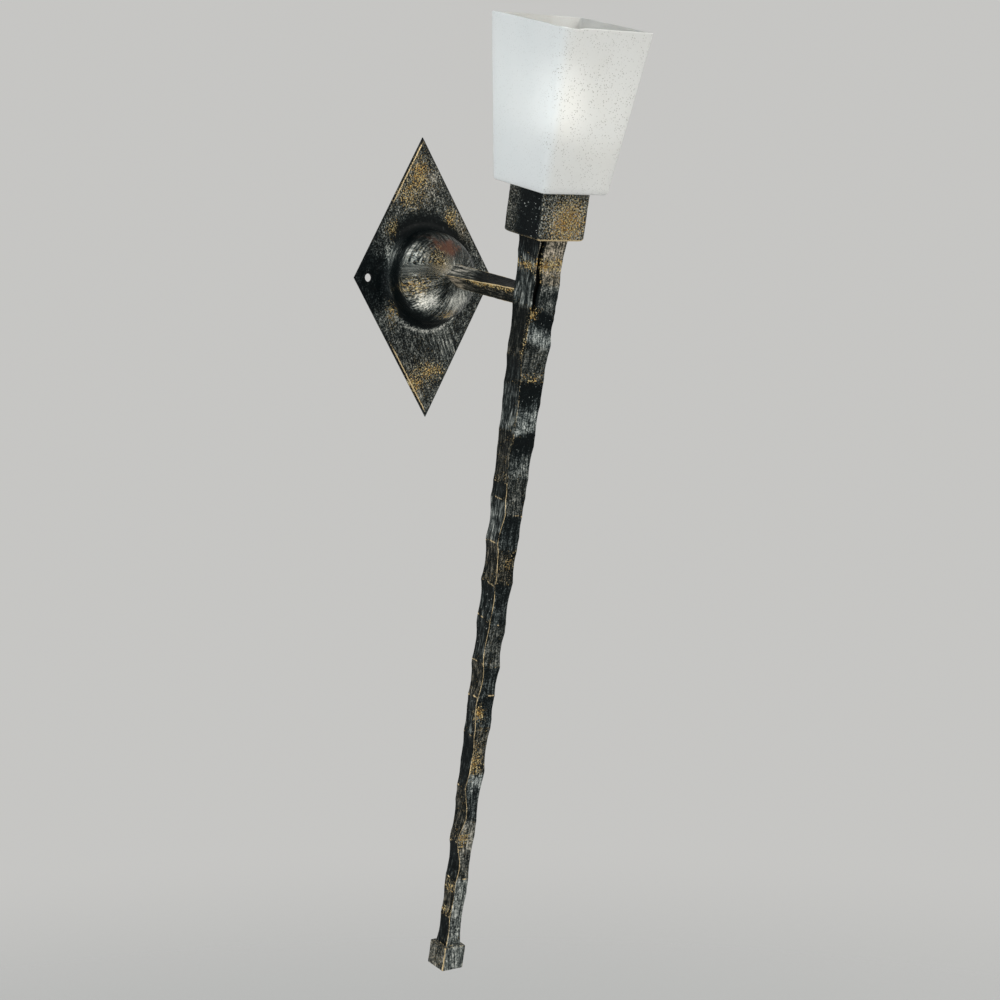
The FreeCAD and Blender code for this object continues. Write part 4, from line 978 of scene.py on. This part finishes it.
def rim_dip(point):
    """The fire-polished rim sags a little beside its front left corner."""
    corner = glass_outer(point.z)
    along_front = point.x + corner
    along_left = point.y + corner
    dip = 1.3 * bell(along_front - 15, 7) * (1 if point.y < 0 else 0)
    dip += 0.9 * bell(along_left - 12, 6) * (1 if point.x < 0 else 0)
    return dip + 0.15 * (1 + rough(point, 12.0))


def glass_tint(point):
    """Painted light: a cooler, brighter white at the left and a warmer one in front, as the light falls on them,
    and painted shade that greys the inside of the mouth towards the top.
    """
    outer = glass_outer(point.z)
    left = smooth(0.7, 0.95, -point.x / outer)
    inside = smooth(1.5, 2.5, outer - max(abs(point.x), abs(point.y)))
    mouth_shade = 1 - 0.34 * inside * smooth(0.55, 0.95, (point.z - GLASS_FOOT) / SHADE_HEIGHT)
    return tuple(mouth_shade * mix(warm, cool, left) for warm, cool in zip(GLASS_FRONT_LIGHT, GLASS_LEFT_LIGHT))


def glass_seeds(point):
    front = smooth(0.7, 0.95, -point.y / glass_outer(point.z))
    near_lamp = bell(point.z - LAMP_MIDDLE.z, 42)
    return mix(0.2, 0.55 + 0.4 * near_lamp, front)


# ---- threads

def threaded(name, radius, wall, low, length, pitch, depth):
    """A tube on the torch's axis with a rolled thread outside, which runs out at both ends."""
    high = low + length
    levels = int((high - low) / pitch * 8)
    steps = 72
    rings = []
    for height in spaced(low, high, levels):
        fade = smooth(low, low + pitch, height) * (1 - smooth(high - pitch, high, height))
        ring = []
        for step in range(steps):
            turn = tau * step / steps
            wave = 0.5 + 0.5 * cos(tau * height / pitch - turn)
            reach = radius - depth * (1 - wave) * fade
            ring.append((reach * cos(turn), reach * sin(turn), height))
        rings.append(ring)
    rings += [circle_ring(radius - wall, high, steps), circle_ring(radius - wall, low, steps)]
    return loft(name, rings, closed=True, sharp=60)


# ---- put together

def coat(thing, material):
    thing.data.materials.clear()
    thing.data.materials.append(material)


def dress(thing, material, body, node):
    """Give a made piece its material, let it ride with its body and stand for its node."""
    coat(thing, material)
    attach(thing, body)
    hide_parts(node)


iron = patina_material()
for make, node in ((make_stem, "stem"), (make_plate, "wall_plate"), (make_arm, "arm"), (make_collar, "collar"),
                   (make_collar_floor, "collar_floor"), (make_knob, "stem_knob")):
    dress(make(), iron, "root", node)
dress(make_shade(), glass_material(), "shade", "glass_shade")

# Two near tones, roughness, metalness and any other settings of each material, and the pieces made of it.
PLAIN_MATERIALS = {
    "black_moulding": ((0.022, 0.022, 0.024), (0.03, 0.03, 0.032), 0.42, 0.0, {"scale": 300},
                       "holder_cap shade_ring wire_bush"),
    "zinc_steel": ((0.52, 0.52, 0.5), (0.62, 0.61, 0.57), 0.34, 1.0, {},
                   "holder_nipple nipple_nuts holder_screws terminal_screws block_screw terminal_bracket"),
    "brass": ((0.62, 0.44, 0.17), (0.74, 0.55, 0.25), 0.3, 1.0, {},
              "screw_shell centre_contact holder_terminals terminal_tubes earth_tag earth_screw"),
    "nickel": ((0.6, 0.58, 0.55), (0.68, 0.66, 0.62), 0.26, 1.0, {}, ""),
    "porcelain": ((0.8, 0.78, 0.72), (0.86, 0.84, 0.79), 0.18, 0.0, {}, "holder_insert"),
    "ivory_moulding": ((0.74, 0.7, 0.58), (0.8, 0.76, 0.65), 0.4, 0.0, {}, "terminal_block"),
    "soft_seal": ((0.03, 0.03, 0.03), (0.045, 0.044, 0.042), 0.75, 0.0, {"bump": 0.2}, "shade_gasket"),
    "black_glass": ((0.01, 0.01, 0.012), (0.016, 0.015, 0.018), 0.1, 0.0, {}, "bulb_insulator"),
    "solder": ((0.42, 0.42, 0.42), (0.55, 0.55, 0.54), 0.38, 1.0, {}, "bulb_contact"),
    "live_cover": ((0.105, 0.045, 0.018), (0.13, 0.058, 0.024), 0.42, 0.0, {}, "live_wire"),
    "neutral_cover": ((0.02, 0.06, 0.23), (0.028, 0.078, 0.28), 0.42, 0.0, {}, "neutral_wire"),
    "earth_cover": ((0.08, 0.27, 0.03), (0.62, 0.52, 0.04), 0.42, 0.0, {"scale": 120, "spread": (0.49, 0.51)},
                    "earth_wire"),
}
for name, (*look, settings, nodes) in PLAIN_MATERIALS.items():
    material = plain_shader(name, *look, **settings).material
    for node in nodes.split():
        coat(bpy.data.objects[node], material)
coat(bpy.data.objects["bulb_diffuser"], lamp_material())
dress(threaded("threaded_shell", SHELL_RADIUS, SHELL_WALL, SHELL_FOOT, SHELL_HEIGHT, SHELL_PITCH, SHELL_THREAD),
      bpy.data.materials["black_moulding"], "root", "holder_shell")
dress(threaded("lamp_thread", LAMP_CAP_RADIUS, CAP_WALL, LAMP_CAP_FOOT, LAMP_CAP_HEIGHT, CAP_PITCH, CAP_THREAD),
      bpy.data.materials["nickel"], "bulb", "bulb_cap")


# ---- stage, light and camera

FLOOR_HEIGHT, FLOOR_CLEAR, FLOOR_RADIUS = -0.95, 0.4, 2.0
PALE, SKY, SKY_STRENGTH = (0.565, 0.562, 0.548), (0.95, 0.98, 1.0), 0.55


def make_floor():
    form = bmesh.new()
    bmesh.ops.create_circle(form, cap_ends=True, radius=FLOOR_RADIUS, segments=96)
    mesh = bpy.data.meshes.new("floor")
    form.to_mesh(mesh)
    form.free()
    floor = new_object("floor", mesh)
    floor.location = (0, 0, FLOOR_HEIGHT)
    shader = Shader("pale_floor")
    shader.set(Base_Color=PALE, Roughness=0.9)
    shader.set(Alpha=shader.remap(shader.distance(), FLOOR_CLEAR, FLOOR_RADIUS, 1.0, 0.0))
    floor.data.materials.append(shader.material)


def make_world():
    """Even soft light on the object; what shows behind it is the pale grey of a plain wall."""
    world = bpy.data.worlds.new("studio")
    bpy.context.scene.world = world
    world.use_nodes = True
    nodes, link = world.node_tree.nodes, world.node_tree.links.new
    nodes.clear()
    light, seen = nodes.new("ShaderNodeBackground"), nodes.new("ShaderNodeBackground")
    light.inputs["Color"].default_value = (*SKY, 1)
    light.inputs["Strength"].default_value = SKY_STRENGTH
    seen.inputs["Color"].default_value = (*PALE, 1)
    path = nodes.new("ShaderNodeLightPath").outputs
    share = path["Is Camera Ray"]
    for ray in ("Is Glossy Ray", "Is Transmission Ray"):
        either = nodes.new("ShaderNodeMath")
        either.operation = "MAXIMUM"
        link(share, either.inputs[0])
        link(path[ray], either.inputs[1])
        share = either.outputs[0]
    choose = nodes.new("ShaderNodeMixShader")
    for source, socket in zip((share, light.outputs[0], seen.outputs[0]), choose.inputs):
        link(source, socket)
    link(choose.outputs[0], nodes.new("ShaderNodeOutputWorld").inputs["Surface"])


# Each lamp's place, what it points at, its width, power and colour.
STUDIO_LAMPS = {
    "key": ((1.0, -2.0, 1.4), (0, -0.1, -0.1), 1.4, 37, (1.0, 0.975, 0.93)),
    "side": ((-2.2, -1.0, -0.2), (0, -0.1, -0.1), 0.9, 16, (0.92, 0.97, 1.0)),
    "high": ((-1.5, -0.25, 1.85), (0, -0.05, 0), 0.5, 11, (0.92, 0.97, 1.0)),
    "low": ((-0.75, -0.3, -0.9), (0, -0.05, 0), 0.3, 2.5, (1.0, 0.97, 0.92)),
}


def add_lamp(name, place, target, size, power, colour):
    data = bpy.data.lights.new(name, "AREA")
    data.shape = "DISK"
    data.size = size
    data.energy = power
    data.color = colour
    lamp = new_object(name, data)
    lamp.location = place
    lamp.rotation_euler = (Vector(target) - Vector(place)).to_track_quat("-Z", "Y").to_euler()


AZIMUTH, ELEVATION, ROLL = radians(37.76), radians(4.4), radians(-0.36)
TARGET, DISTANCE, LENS = Vector((0.0875, 0.0, -0.2098)), 2.5, 95.1


def make_camera():
    back = Vector((-sin(AZIMUTH) * cos(ELEVATION), -cos(AZIMUTH) * cos(ELEVATION),
                   sin(ELEVATION)))
    right = Vector((cos(AZIMUTH), -sin(AZIMUTH), 0))
    up = back.cross(right)
    facing = Matrix((right, up, back)).transposed() @ Matrix.Rotation(ROLL, 3, "Z")
    data = bpy.data.cameras.new("camera")
    data.lens = LENS
    data.sensor_width = 36.0
    camera = new_object("camera", data)
    camera.matrix_world = Matrix.Translation(TARGET + back * DISTANCE) @ facing.to_4x4()
    bpy.context.scene.camera = camera


make_floor()
make_world()
for name, settings in STUDIO_LAMPS.items():
    add_lamp(name, *settings)
make_camera()
bpy.context.scene.view_settings.view_transform = "Standard"
